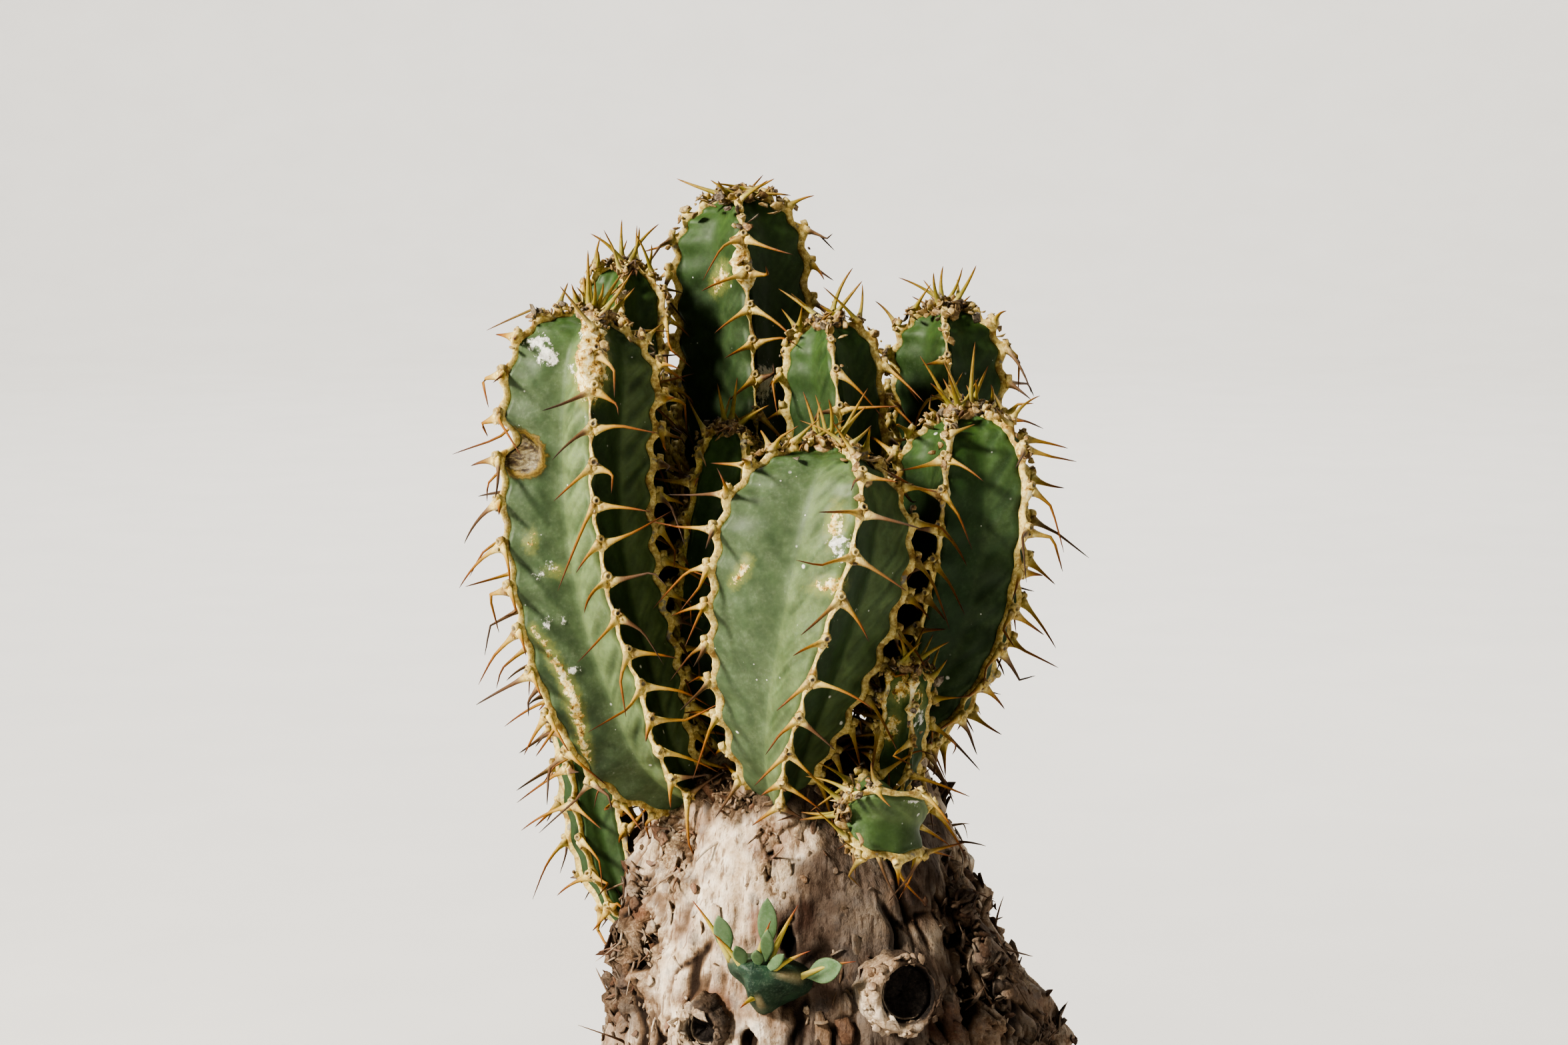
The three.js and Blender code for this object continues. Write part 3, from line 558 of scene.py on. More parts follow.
def ringed_wound(look, ring):
    """A sunken, dried wound in a rind of brown and yellow rings; `ring` is the distance to its edge in mm."""
    wound = look.ramp(
        look.grain(1.6, 5, 0.75, look.stretched(0.6, 1, 1.5)),
        (0.42, (0.035, 0.022, 0.012)),
        (0.49, (0.095, 0.070, 0.032)),
        (0.56, (0.180, 0.148, 0.080)),
        (0.66, (0.28, 0.262, 0.190)),
    )
    rind = look.ramp(
        look.step(ring, -1.5, 0.5),
        (0.0, (0.050, 0.032, 0.014)),
        (0.25, (0.270, 0.195, 0.055)),
        (0.5, (0.130, 0.082, 0.022)),
        (0.72, (0.215, 0.155, 0.045)),
        (0.9, (0.090, 0.080, 0.026)),
        (1.0, (0.060, 0.090, 0.030)),
    )
    return look.mix(look.step(ring, -1.4, -1.0), wound, rind)


def flesh_look():
    look = Look("flesh")
    medium, fine = look.grain(4.5, 4), look.grain(0.7, 3, 0.7)
    dots = look.step(look.spots(5.5), 0.085, 0.045) * look.step(look.grain(14), 0.5, 0.56)
    specks = look.step(look.spots(2.3), 0.09, 0.05) * look.step(look.grain(9), 0.54, 0.6, 0, 0.7)
    mineral = look.most(dots, specks)
    ragged = (look.grain(1.1, 4, 0.7) - 0.5) * 2.6
    torn = ragged * 1.7
    chalk = look.step(look.value("chalk") + torn, 0.1, -0.55)
    cork = look.step(look.value("cork") + torn, 0.1, -0.4)
    ring = look.value("ring") + ragged * 0.8
    white = look.ramp(look.grain(0.6, 3, 0.7), (0.3, (0.54, 0.55, 0.50)), (0.6, (0.86, 0.86, 0.81)))
    colour = flesh_green(look, medium, fine)
    colour = look.coats(
        colour,
        (mineral, (0.72, 0.73, 0.68)),
        (look.step(ring, 0.5, 0.0), ringed_wound(look, ring)),
        (look.step(look.value("cork") + ragged, 1.5, 0.0, 0, 0.6), (0.26, 0.285, 0.095)),
        (cork, corky_crust(look)),
        (chalk, white),
    )
    dry = look.most(look.most(cork, chalk), mineral)
    roughness = look.step(medium, 0.3, 0.7, 0.46, 0.6) + dry * 0.3
    height = dry * look.grain(0.5, 3, 0.7) + fine * 0.12
    look.surface(Base_Color=colour, Roughness=roughness, Normal=look.bump(height, 0.5, 0.35))
    look.surface(Specular_IOR_Level=0.3, Subsurface_Weight=0.06, Subsurface_Scale=0.0015)
    return look.material


def corky_crust(look):
    """Yellowish cork with orange-brown and whitish patches."""
    return look.ramp(
        look.grain(1.5, 5, 0.72),
        (0.36, (0.130, 0.072, 0.026)),
        (0.43, (0.46, 0.285, 0.080)),
        (0.51, (0.74, 0.60, 0.260)),
        (0.62, (0.87, 0.81, 0.57)),
    )


def margin_colour(look, medium, fine):
    """Cream horn with brown, corky and grey patches and brown crumbs."""
    corky, dust = look.values("corky dust")
    cream = look.ramp(
        fine,
        (0.28, (0.34, 0.215, 0.062)),
        (0.42, (0.59, 0.445, 0.155)),
        (0.56, (0.75, 0.620, 0.265)),
        (0.72, (0.93, 0.835, 0.455)),
    )
    grey = look.mix(fine, (0.11, 0.10, 0.095), (0.42, 0.41, 0.38))
    crumbs = look.ramp(
        fine, (0.3, (0.070, 0.036, 0.018)), (0.5, (0.24, 0.145, 0.070)), (0.7, (0.58, 0.45, 0.27))
    )
    return look.coats(
        cream,
        (look.step(medium, 0.50, 0.64, 0, 0.8), (0.29, 0.160, 0.042)),
        (look.step(corky, 0.1, 0.5), corky_crust(look)),
        (look.step(look.grain(3.1, 4, 0.7), 0.6, 0.68, 0, 0.8), grey),
        (dust, crumbs),
    )


def spine_colour(look, fine):
    """Cream at the root to dark at the tip when old, yellow to brown when fresh, and grey-brown when dead."""
    tip, young, own = look.values("tip young own")
    shift = tip + (look.grain(7, 4) - 0.5) * 0.4
    old = look.ramp(
        shift,
        (0.0, (0.66, 0.54, 0.22)),
        (0.2, (0.54, 0.385, 0.110)),
        (0.45, (0.38, 0.205, 0.040)),
        (0.72, (0.25, 0.088, 0.020)),
        (1.0, (0.065, 0.025, 0.013)),
    )
    fresh = look.ramp(
        shift,
        (0.0, (0.42, 0.38, 0.14)),
        (0.35, (0.32, 0.275, 0.060)),
        (0.75, (0.33, 0.200, 0.040)),
        (1.0, (0.16, 0.055, 0.020)),
    )
    dead = look.ramp(
        shift, (0.0, (0.38, 0.28, 0.16)), (0.35, (0.16, 0.085, 0.04)), (1.0, (0.040, 0.026, 0.020))
    )
    spine = look.mix(young, look.mix(look.step(own, 0.62, 0.74), old, dead), fresh)
    return look.mix(look.step(fine, 0.45, 0.75, 0, 0.35), spine, (0.12, 0.060, 0.025))


def horn_look():
    look = Look("horn")
    medium, fine = look.grain(2.2, 4, 0.65), look.grain(0.7, 4, 0.7)
    tip, dark = look.values("tip dark")
    colour = look.mix(
        look.step(tip, 0.06, 0.24), margin_colour(look, medium, fine), spine_colour(look, fine)
    )
    scorched = look.mix(look.step(fine, 0.4, 0.6), (0.030, 0.022, 0.016), (0.19, 0.17, 0.15))
    colour = look.mix(dark, colour, scorched)
    roughness = look.step(fine, 0.3, 0.7, 0.42, 0.75)
    normal = look.bump(fine, 0.5, 0.25)
    look.surface(Base_Color=colour, Roughness=roughness, Normal=normal, Specular_IOR_Level=0.4)
    return look.material


def bark_look():
    look = Look("bark")
    depth, crumble, brown, char, red, shade = look.values("depth crumble brown char red shade")
    broad, medium, fine = look.grain(13, 4), look.grain(3.0, 5, 0.65), look.grain(0.6, 4, 0.7)
    fibre = look.grain(0.9, 5, 0.65, look.stretched(1, 1, 0.12))
    skin = look.ramp(
        medium, (0.32, (0.50, 0.375, 0.255)), (0.5, (0.75, 0.630, 0.490)), (0.68, (0.90, 0.82, 0.70))
    )
    tan = look.ramp(
        medium, (0.30, (0.25, 0.165, 0.112)), (0.5, (0.42, 0.310, 0.225)), (0.70, (0.60, 0.480, 0.375))
    )
    crust = look.ramp(
        fine, (0.3, (0.085, 0.050, 0.028)), (0.48, (0.34, 0.235, 0.140)), (0.68, (0.74, 0.62, 0.44))
    )
    flaky = look.ramp(
        fine, (0.3, (0.080, 0.048, 0.030)), (0.5, (0.230, 0.145, 0.090)), (0.7, (0.48, 0.35, 0.24))
    )
    grey = look.mix(fine, (0.15, 0.14, 0.13), (0.42, 0.395, 0.37))
    rust = look.mix(fine, (0.10, 0.035, 0.018), (0.32, 0.145, 0.085))
    burnt = look.ramp(
        fine, (0.3, (0.008, 0.006, 0.006)), (0.6, (0.032, 0.025, 0.021)), (0.8, (0.105, 0.080, 0.055))
    )
    sunk = depth + (medium - 0.5) * 0.6
    speckle = look.step(look.spots(1.6), 0.2, 0.08, 0, 0.5)
    skin = look.coats(
        skin,
        (look.step(broad, 0.42, 0.62), tan),
        (look.step(fibre, 0.50, 0.66, 0, 0.75), (0.150, 0.088, 0.050)),
        (crumble * 0.75, crust),
        (brown * look.step(medium, 0.3, 0.62, 1.0, 0.45), flaky),
        (look.step(look.grain(5, 4, 0.6), 0.56, 0.66, 0, 0.5), grey),
        (red * 0.75, rust),
        # Darker in furrows and hollows: brown that is partly the bark's own colour and partly painted shade,
        # then painted shade near black in the deepest
        (look.step(sunk, -0.02, -0.45, 0, 0.75), (0.190, 0.115, 0.066)),
        (look.step(sunk, -0.25, -0.85), (0.038, 0.023, 0.015)),
        (speckle * look.step(broad, 0.5, 0.6), (0.06, 0.04, 0.03)),
    )
    # Painted shade: the bark is darkened to grey-brown where the painted shade value, made patchy by noise,
    # is high
    patchy_painted_shade = shade + (look.grain(6, 4, 0.6) - 0.5) * 0.9
    skin = look.mix(look.step(patchy_painted_shade, 0.0, 0.85), skin, (0.230, 0.212, 0.215), "MULTIPLY")
    skin = look.mix(char, skin, burnt)
    normal = look.bump(fibre * 0.8 + fine * 0.7, 0.8, 0.5, look.bump(medium, 0.5, 0.9))
    roughness = look.step(medium, 0.3, 0.7, 0.7, 0.95)
    look.surface(Base_Color=skin, Roughness=roughness, Normal=normal, Specular_IOR_Level=0.25)
    return look.material


def shoot_look():
    look = Look("young_flesh")
    leaf, cream, tip, spiny = look.values("leaf cream tip spiny")
    fine, medium = look.grain(0.5, 3, 0.7), look.grain(2.5, 4)
    body = look.ramp(medium, (0.3, (0.013, 0.036, 0.022)), (0.7, (0.036, 0.082, 0.046)))
    blade = look.ramp(medium, (0.3, (0.090, 0.160, 0.070)), (0.7, (0.165, 0.255, 0.130)))
    edge = look.mix(fine, (0.36, 0.26, 0.12), (0.70, 0.60, 0.38))
    spine = look.ramp(
        tip, (0.0, (0.46, 0.42, 0.14)), (0.55, (0.45, 0.36, 0.07)), (0.85, (0.34, 0.11, 0.04)),
        (1.0, (0.18, 0.04, 0.02)),
    )
    powder = look.step(fine, 0.45, 0.7, 0, 0.25)
    colour = look.coats(
        body, (leaf, blade), (powder, (0.26, 0.33, 0.24)), (cream * 0.55, edge), (spiny, spine)
    )
    roughness, normal = look.step(fine, 0.3, 0.7, 0.45, 0.6), look.bump(fine, 0.25, 0.2)
    look.surface(Base_Color=colour, Roughness=roughness, Normal=normal, Specular_IOR_Level=0.4)
    look.surface(Subsurface_Weight=0.12, Subsurface_Scale=0.001)
    return look.material


def soil_look():
    look = Look("soil")
    stone, own = look.values("stone own")
    fine, medium = look.grain(0.8, 5, 0.7), look.grain(4, 4)
    earth = look.ramp(
        fine, (0.3, (0.018, 0.012, 0.009)), (0.55, (0.065, 0.043, 0.030)), (0.75, (0.16, 0.11, 0.075))
    )
    grit = look.ramp(
        own, (0.0, (0.10, 0.065, 0.04)), (0.35, (0.26, 0.20, 0.15)), (0.6, (0.42, 0.37, 0.31)),
        (1.0, (0.58, 0.54, 0.47)),
    )
    grit = look.mix(1.0, grit, look.step(fine, 0.3, 0.7, 0.6, 1.15), "MULTIPLY")
    colour = look.mix(stone, earth, grit)
    roughness, normal = look.step(medium, 0.3, 0.7, 0.8, 1.0), look.bump(fine, 0.8, 0.6)
    look.surface(Base_Color=colour, Roughness=roughness, Normal=normal, Specular_IOR_Level=0.2)
    return look.material


def clay_look():
    look = Look("terracotta")
    broad, medium, fine = look.grain(38, 4), look.grain(7, 5, 0.65), look.grain(0.7, 4, 0.7)
    rings = look.grain(2.6, 2, 0.5, look.stretched(0.03, 0.03, 1))
    height = Value(look, look.node("ShaderNodeSeparateXYZ", {0: look.place}).outputs[2])
    salt_line = height + (broad - 0.5) * 0.09
    foot_salt = look.step(salt_line, 0.055, 0.012) * look.step(medium, 0.38, 0.62, 0.1, 0.85)
    rim_salt = look.step(salt_line, 0.082, 0.099) * look.step(medium, 0.42, 0.66, 0, 0.7)
    salt = look.most(foot_salt, rim_salt) * look.step(fine, 0.3, 0.65, 0.4, 1.0)
    moss = look.step(salt_line, 0.03, 0.005) * look.step(look.grain(11), 0.55, 0.68, 0, 0.5)
    clay = look.coats(
        look.ramp(broad, (0.3, (0.36, 0.125, 0.058)), (0.7, (0.50, 0.205, 0.105))),
        (look.step(medium, 0.4, 0.75, 0, 0.4), (0.58, 0.31, 0.19)),
        (look.step(look.spots(3.2), 0.16, 0.05, 0, 0.5), (0.20, 0.075, 0.04)),
        (look.step(rings, 0.5, 0.7, 0, 0.25), (0.30, 0.11, 0.06)),
        (salt, (0.68, 0.58, 0.50)),
        (moss, (0.10, 0.11, 0.05)),
    )
    roughness, normal = look.step(medium, 0.3, 0.7, 0.78, 0.95), look.bump(fine + rings * 1.4, 0.35, 0.3)
    look.surface(Base_Color=clay, Roughness=roughness, Normal=normal, Specular_IOR_Level=0.25)
    return look.material


def paper_look():
    look = Look("paper")
    tone = look.ramp(look.grain(60, 3), (0.3, tuple(0.97 * c for c in PAPER)), (0.7, PAPER))
    look.surface(Base_Color=tone, Roughness=0.9, Specular_IOR_Level=0.1)
    return look.material


# Arms
def curve(control, share):
    a, b, c, d = control
    s = share[:, None]
    r = 1 - s
    point = r**3 * a + 3 * r * r * s * b + 3 * r * s * s * c + s**3 * d
    return point, 3 * r * r * (b - a) + 6 * r * s * (c - b) + 3 * s * s * (d - c)


class Arm:
    """One arm: its axis, the crest line that its ribs follow and its spine shields along that line."""

    def __init__(self, name, base, low, high, tip, radius, neck, ribs, phase, twist, swell, dome):
        self.name, self.radius, self.ribs = name, radius, ribs
        self.phase, self.twist = math.radians(phase), math.radians(twist)
        self.control = np.array([base, low, high, tip], float)
        self.shares = np.linspace(0, 1, 801)
        points, _ = curve(self.control, self.shares)
        self.walked = np.concatenate([[0], np.cumsum(np.linalg.norm(np.diff(points, axis=0), axis=1))])
        self.length = self.walked[-1]
        flank = np.linspace(0, self.length - dome, 300, endpoint=False)
        turn = np.linspace(0, 0.95 * np.pi / 2, 200)
        along = np.concatenate([flank, self.length - dome + dome * np.sin(turn) ** (2 / DOME_POWER)])
        swollen = np.clip((along - STALK.get(name, 0)) / swell, 0, 1)
        girth = neck + (radius - neck) * np.sin(swollen * np.pi / 2)
        girth[300:] *= np.cos(turn) ** (2 / DOME_POWER)
        self.edge = np.stack([along, girth], -1)
        self.stations = np.concatenate([[0], np.cumsum(np.linalg.norm(np.diff(self.edge, axis=0), axis=1))])
        self.reach = self.stations[-1]
        self.shields = self.place_shields()
        self.seed = sum(map(ord, name))
        self.front = np.array([0, 0, 1.0]) if name in LYING else np.array([0, -1.0, 0])
        self.settles = SETTLES.get(name, 0)
        self.moved = np.radians(MOVED.get(name, [0] * ribs))
        self.scallop = 0.55 if radius > 10 else 0.3
        self.horn = BEHIND if name.startswith("back") else NEAR if radius > BROAD_HORN else FARTHER

    def place_shields(self):
        """Shields stand closer towards the crown."""
        places, at = [], self.reach - 1.2
        while at > 3:
            places.append(at)
            at -= CROWN_SPACING + (SHIELD_SPACING - CROWN_SPACING) * min(1, (self.reach - at) / 15)
        return np.array(places[::-1])

    def phase_at(self, u):
        """Counts shields: a whole number at each one."""
        count = np.arange(len(self.shields), dtype=float)
        beyond = np.interp(u, self.shields, count)
        return beyond - np.maximum(0, self.shields[0] - u) / SHIELD_SPACING + np.maximum(
            0, u - self.shields[-1]
        ) / 3

    def crest(self, u):
        along = np.interp(u, self.stations, self.edge[:, 0])
        radius = np.interp(u, self.stations, self.edge[:, 1])
        ahead, behind = np.minimum(u + 0.6, self.reach), np.maximum(u - 0.6, 0)
        slope = unit(np.stack([np.interp(ahead, self.stations, self.edge[:, k])
                               - np.interp(behind, self.stations, self.edge[:, k]) for k in (0, 1)], -1))
        return along, radius, slope

    def frames(self, along):
        clipped = np.clip(along, 0, self.length)
        point, tangent = curve(self.control, np.interp(clipped, self.walked, self.shares))
        tangent = unit(tangent)
        point = point + tangent * (along - clipped)[:, None]
        front = unit(self.front - tangent * (tangent @ self.front)[:, None])
        return point, tangent, front, np.cross(tangent, front)

    def rib_frame(self, u, rib):
        """On rib `rib`: the axis point, its tangent, outward, sideways and the crest."""
        along, radius, slope = self.crest(u)
        point, tangent, front, right = self.frames(along)
        share = np.minimum(1, along / self.length)
        twist = self.twist * (1 - share) * (smooth_step(share / self.settles) if self.settles else 1)
        angle = (self.phase + twist + 2 * np.pi * rib / self.ribs + self.moved[rib])[:, None]
        out = front * np.cos(angle) + right * np.sin(angle)
        return point, tangent, out, np.cross(tangent, out), radius, slope

    def wave(self, u, rib):
        """The rib's edge rises at each shield and dips between them and where it was bitten."""
        wave = self.scallop * np.cos(2 * np.pi * self.phase_at(u)) * smooth_step(u, 0, 12)
        if (self.name, rib) in BITTEN:
            place, half, deep = BITTEN[self.name, rib]
            wave = wave - deep * np.exp(-(((u - place) / half) ** 4))
        return wave

    def crest_points(self, u, rib, rise=0.0, sideways=0.0):
        """Points raised from the crest, its normal, the sideways direction and the way along it."""
        point, tangent, out, side, radius, slope = self.rib_frame(u, rib)
        normal = out * slope[:, :1] - tangent * slope[:, 1:]
        ahead = tangent * slope[:, :1] + out * slope[:, 1:]
        lift = rise + self.wave(u, rib)
        sideways = np.broadcast_to(sideways, len(u))
        place = point + out * radius[:, None] + normal * lift[:, None] + side * sideways[:, None]
        return place, normal, side, ahead


def scar_fields(arm, points, outward):
    """Signed distances in mm to the chalky, corky and ringed scars of an arm, seen from the front."""
    hidden = np.where(outward[..., 1] < -0.05, 0.0, 9.0)
    fields = {kind: np.full(points.shape[:-1], 9.0) for kind in ("chalk", "cork", "ring")}
    ragged = 0.28 * rough(points, 2.4, 2, 91)
    for owner, x, z, half_width, half_height, lean, kind in SCARS:
        if owner != arm.name:
            continue
        up = points[..., 2] - z
        across = points[..., 0] - x - lean * up
        distance = np.sqrt((across / half_width) ** 2 + (up / half_height) ** 2) - 1
        distance += ragged * (0.25 if kind == "ring" else 1)
        fields[kind] = np.minimum(fields[kind], distance * min(half_width, half_height) + hidden)
    for owner, line in WELTS:
        if owner != arm.name:
            continue
        for (ax, az, wide), (bx, bz, wide_after) in zip(line, line[1:]):
            step = np.array([bx - ax, bz - az])
            gone = np.stack([points[..., 0] - ax, points[..., 2] - az], -1)
            share = np.clip(gone @ step / (step @ step), 0, 1)
            distance = np.linalg.norm(gone - share[..., None] * step, axis=-1)
            distance += 0.8 * ragged - wide - (wide_after - wide) * share
            fields["cork"] = np.minimum(fields["cork"], distance + hidden)
    return fields


def flank(arm, rib, way, share, u, frames):
    """One line up a rib's flank, `share` of the way from its crest to the valley on side `way`."""
    point, tangent, out, side, radius, slope = frames
    skew = math.radians(SKEW.get(arm.name, 0)) * way
    half_turn = np.pi / arm.ribs + way * (arm.moved[(rib + way) % arm.ribs] - arm.moved[rib]) / 2 + skew
    inset = INSET * np.minimum(1, radius / 6)
    crest_reach = np.maximum(0.4, radius - slope[:, 0] * inset + arm.wave(u, rib))
    valley_reach = np.maximum(0.4, radius - slope[:, 0] * inset) * VALLEY[arm.ribs]
    half = np.minimum(1.5, 0.5 * radius) / 2
    valley = np.stack([valley_reach * math.cos(half_turn), valley_reach * math.sin(half_turn)], -1)
    crest = np.stack([crest_reach, half], -1)
    span = np.linalg.norm(crest - valley, axis=-1)
    chord = unit(crest - valley)
    bisector = np.array([math.cos(half_turn), math.sin(half_turn)])
    from_valley = (1 - share) * span
    fillet = ROUNDED.get(arm.name, 0.36) * span
    push = chord @ bisector * np.maximum(0, fillet - from_valley) ** 2 / (2 * fillet)
    bulge = 0.05 * span * math.sin(math.pi * share) ** 2
    across = np.stack([-chord[:, 1], chord[:, 0]], -1)
    across *= np.where(across @ bisector < 0, -1, 1)[:, None]
    flat = crest + (valley - crest) * share + push[:, None] * bisector + bulge[:, None] * across
    middle = point + out * (0.8 * flat[:, :1])
    swing = noise(middle, 11, arm.seed + rib) * 1.1
    slant = u - SLANT * from_valley
    phase = 2 * np.pi * arm.phase_at(slant) + swing
    window = smooth_step(from_valley / span, 0.04, 0.35) * smooth_step(share, 0.02, 0.16)
    window = window * smooth_step(u, 6, 22)
    strong = np.clip(0.8 + 0.5 * noise(middle, 17, arm.seed + 9), 0.25, 1)
    strong = strong * (0.55 if way > 0 else 1)
    fold = 0.6 * np.abs(np.cos(phase / 2)) ** 4 + 0.35 * np.abs(np.cos(phase + swing)) ** 6
    fold = fold * window * strong
    grid = np.stack([slant, from_valley / 9, np.full_like(slant, 3 * rib + way)], -1)
    streak = (noise(grid, 1.3, arm.seed) + 0.8 * noise(grid * [1, 0.8, 1], 0.6, arm.seed + 2)) * window
    streak = streak * (0.45 if way > 0 else 1)
    depth = min(1, arm.radius / 13) * (0.42 * fold + 0.07 * streak)
    flat = flat - across * depth[:, None]
    shift = (slope[:, 1] * inset)[:, None]
    place = point + tangent * shift + out * flat[:, :1] + way * side * flat[:, 1:]
    # The flesh's own pale stripe together with painted light on the flank left of a rib, which faces the key
    # lamp
    pale = smooth_step(from_valley, -0.2, 0.8) if way < 0 else 0.3 * np.exp(-from_valley / 1.3)
    facing = unit(out * across[:, :1] + way * side * across[:, 1:])
    return place, facing, dict(fold=fold, streak=streak, pale=pale)


def skin_of(arm):
    """The green body of an arm: its valleys, waved ribs and slanting folds in its flanks."""
    behind = SKIN_BEHIND if arm.horn is BEHIND else SKIN_USUAL
    steps, spacing = SKIN_BROAD if arm.radius > BROAD_SKIN else behind
    u = np.linspace(0, arm.reach, int(arm.reach / spacing))
    lines = []
    for rib in range(arm.ribs):
        frames = arm.rib_frame(u, rib)
        for line in range(1 - steps, steps + 1):
            way = -1 if line < 0 else 1
            lines.append(flank(arm, rib, way, (abs(line) / steps) ** 1.1, u, frames))
    points, facing = (np.stack([line[k] for line in lines], 1) for k in (0, 1))
    layers = {key: np.stack([line[2][key] for line in lines], 1) for key in lines[0][2]}
    lumps = 0.16 * noise(points, 6, arm.seed) + 0.05 * noise(points, 2.2, arm.seed + 3)
    fields = scar_fields(arm, points, facing)
    crusty = smooth_step(-np.minimum(fields["cork"], fields["chalk"] + 0.1), -0.5, 0.4)
    raised = crusty * (0.35 + 0.3 * noise(points, 1.1, 5))
    ring = fields["ring"]
    sunk = smooth_step(-ring, 0.9, 2.6) * (0.9 + 0.4 * noise(points, 1.4, 8))
    rim = 0.45 * np.exp(-(((ring + 0.5) / 0.6) ** 2)) - sunk
    points = points + facing * (lumps + raised + rim)[..., None]
    # Lying arms, whose faces turn up towards the key lamp, get more painted light
    layers["pale"] = layers["pale"] * PALE_AND_PAINTED_LIGHT.get(arm.name, 0.2) + (0.4 if arm.name in LYING else 0)
    layers["up"] = np.broadcast_to((arm.reach - u)[:, None], ring.shape)
    # The bloom thins on flanks that face right, away from the key lamp: painted shade
    layers["bloom"] = BLOOM.get(arm.name, 0.15) * (1 - 0.85 * smooth_step(facing[..., 0], 0.1, 0.5))
    shape = Shape()
    shape.add_loft(points, **layers, **fields)
    return shape


class Ground:
    """Everything that a spine must not run into."""

    def __init__(self, shapes):
        points = np.concatenate([shape.all_points() for shape in shapes])
        faces, start = [], 0
        for shape in shapes:
            faces += [tuple(face) for block in shape.faces for face in (block + start).tolist()]
            start += shape.count
        self.tree = BVHTree.FromPolygons(points.tolist(), faces)

    def room(self, start, direction, length):
        """How far one can go from start before meeting flesh or bark."""
        _, _, _, distance = self.tree.ray_cast(Vector(start), Vector(direction), length)
        return length if distance is None else distance


def spine_path(rng, direction, down, length, kinked):
    """Points from the root, curving a little and, on some, bent near the end."""
    share = SPINE_SHARES
    bend = down * rng.uniform(-0.08, 0.3) + rng.normal(size=3) * 0.09
    path = direction * share[:, None] + bend * share[:, None] ** 2
    if kinked:
        joint = rng.uniform(0.45, 0.82)
        elbow = unit(rng.normal(size=3) + down) * rng.uniform(0.7, 2.0)
        path = path + elbow * np.maximum(0, share - joint)[:, None]
    return path * length, share


def add_spine(shape, rng, ground, root, choices, along, length, young, scale, sides):
    """The first choice of direction with room for it; otherwise the roomiest, shortened to fit."""
    best, room = None, 0
    for direction in choices:
        start = root + direction * CLEAR_ROOT
        if start[2] + direction[2] * (length - CLEAR_ROOT) > CEILING:
            continue
        space = CLEAR_ROOT + ground.room(start, direction, length + SPINE_GAP)
        if space > room + 0.5:
            best, room = direction, space
        if room >= length + SPINE_GAP:
            break
    if best is None or room < SHORTEST_SPINE:
        return
    length = min(length, room - 0.5)
    down = unit(-along * (1 - young) + np.array([0, 0, -0.3]) * (1 - young) + along * young * 0.3)
    kinked = rng.random() < 0.55 * (1 - young) and length > 5
    path, share = spine_path(rng, best, down, length, kinked)
    if (root + path)[:, 2].max() > CEILING:
        path = best * share[:, None] * length
    body = SPINE_BODY * scale * (1 - share) ** 0.62 + 0.03
    flare = scale * np.exp(-((share * length / 1.35) ** 1.3))
    wide, thin = (body + foot * flare for foot in SPINE_FLARE)
    points, faces = spike(root, path, wide, thin, along, sides)
    rings = np.broadcast_to(share[:, None], (len(share), sides))
    shape.add(
        points, faces, tip=with_caps(rings), young=young, own=rng.random(), dust=0.5 * (rng.random() < 0.25)
    )


def strip(shape, arm, rib):
    """The horny margin on one rib: narrow and knobbly, broad at each shield."""
    spacing, sides = arm.horn[:2]
    u = np.arange(2.0, arm.reach, spacing)
    scale = 0.72 + 0.28 * min(1, arm.radius / 13)
    nearest = np.abs(arm.phase_at(u) - np.round(arm.phase_at(u))) * SHIELD_SPACING
    shield = np.exp(-((nearest / 1.25) ** 2))
    corky = np.zeros(len(u))
    for owner, corky_rib, start, stop, extra in CORKY:
        if owner == arm.name and corky_rib == rib:
            below = arm.reach - u
            corky = extra * smooth_step(below, start - 2, start + 3) * smooth_step(below, stop + 3, stop - 2)
            corky = corky * np.maximum(shield, min(1, extra - 0.35))
    centre, normal, side, _ = arm.crest_points(u, rib)
    jitter = noise(centre, 1.3, arm.seed + rib) + 0.5 * noise(centre, 0.6, arm.seed + rib + 20)
    wobble = noise(centre, 3.2, arm.seed + rib + 40) * 0.34 - 0.5 * corky
    _, radius, _ = arm.crest(u)
    slim = np.minimum(1, radius / 4)
    uneven = corky * 0.55 * noise(centre, 1.9, arm.seed + rib + 60)
    width = scale * slim * np.maximum(0.2, 0.25 + 0.62 * shield + 0.16 * jitter + corky + uneven)
    width = width * smooth_step(u, -1, 5)
    top = scale * (-0.44 + 0.52 * shield + 0.36 * noise(centre, 1.1, arm.seed + rib + 80)) - 0.25 * corky
    bottom = -(1.95 + 0.35 * shield) * np.minimum(1, radius / 5)
    turn = circle(sides)
    lift = np.where(np.cos(turn) > 0, top[:, None] + 1.1, -(bottom[:, None] + 1.1)) * np.cos(turn) - 1.1
    aside = (width[:, None] * np.sign(np.sin(turn)) * np.abs(np.sin(turn)) ** 0.8) + wobble[:, None]
    surface = centre[:, None, :] + aside[..., None] * side[:, None, :]
    lumps = (0.15 + 0.34 * corky[:, None]) * noise(surface, 1.2, arm.seed + 5)
    lumps = lumps + (0.07 + 0.16 * corky[:, None]) * noise(surface, 0.55, arm.seed + 6)
    rings = (
        centre[:, None, :]
        + normal[:, None, :] * (lift + lumps * (np.cos(turn) > -0.2))[..., None]
        + side[:, None, :] * (aside + lumps * np.sin(turn))[..., None]
    )
    dust = np.clip(
        -0.3 * corky[:, None] + 0.5 * smooth_step(jitter[:, None], 0.35, 0.8) - 1.4 * lumps - 0.1, 0, 1
    )
    young = smooth_step(arm.reach - u, 14, 2)[:, None] * 0.3
    like = np.zeros_like(lift)
    cork = np.minimum(1, 1.6 * corky)[:, None] + like
    shape.add_loft(rings, tip=0.0, corky=cork, dust=dust + like, young=young + like)
    return scale


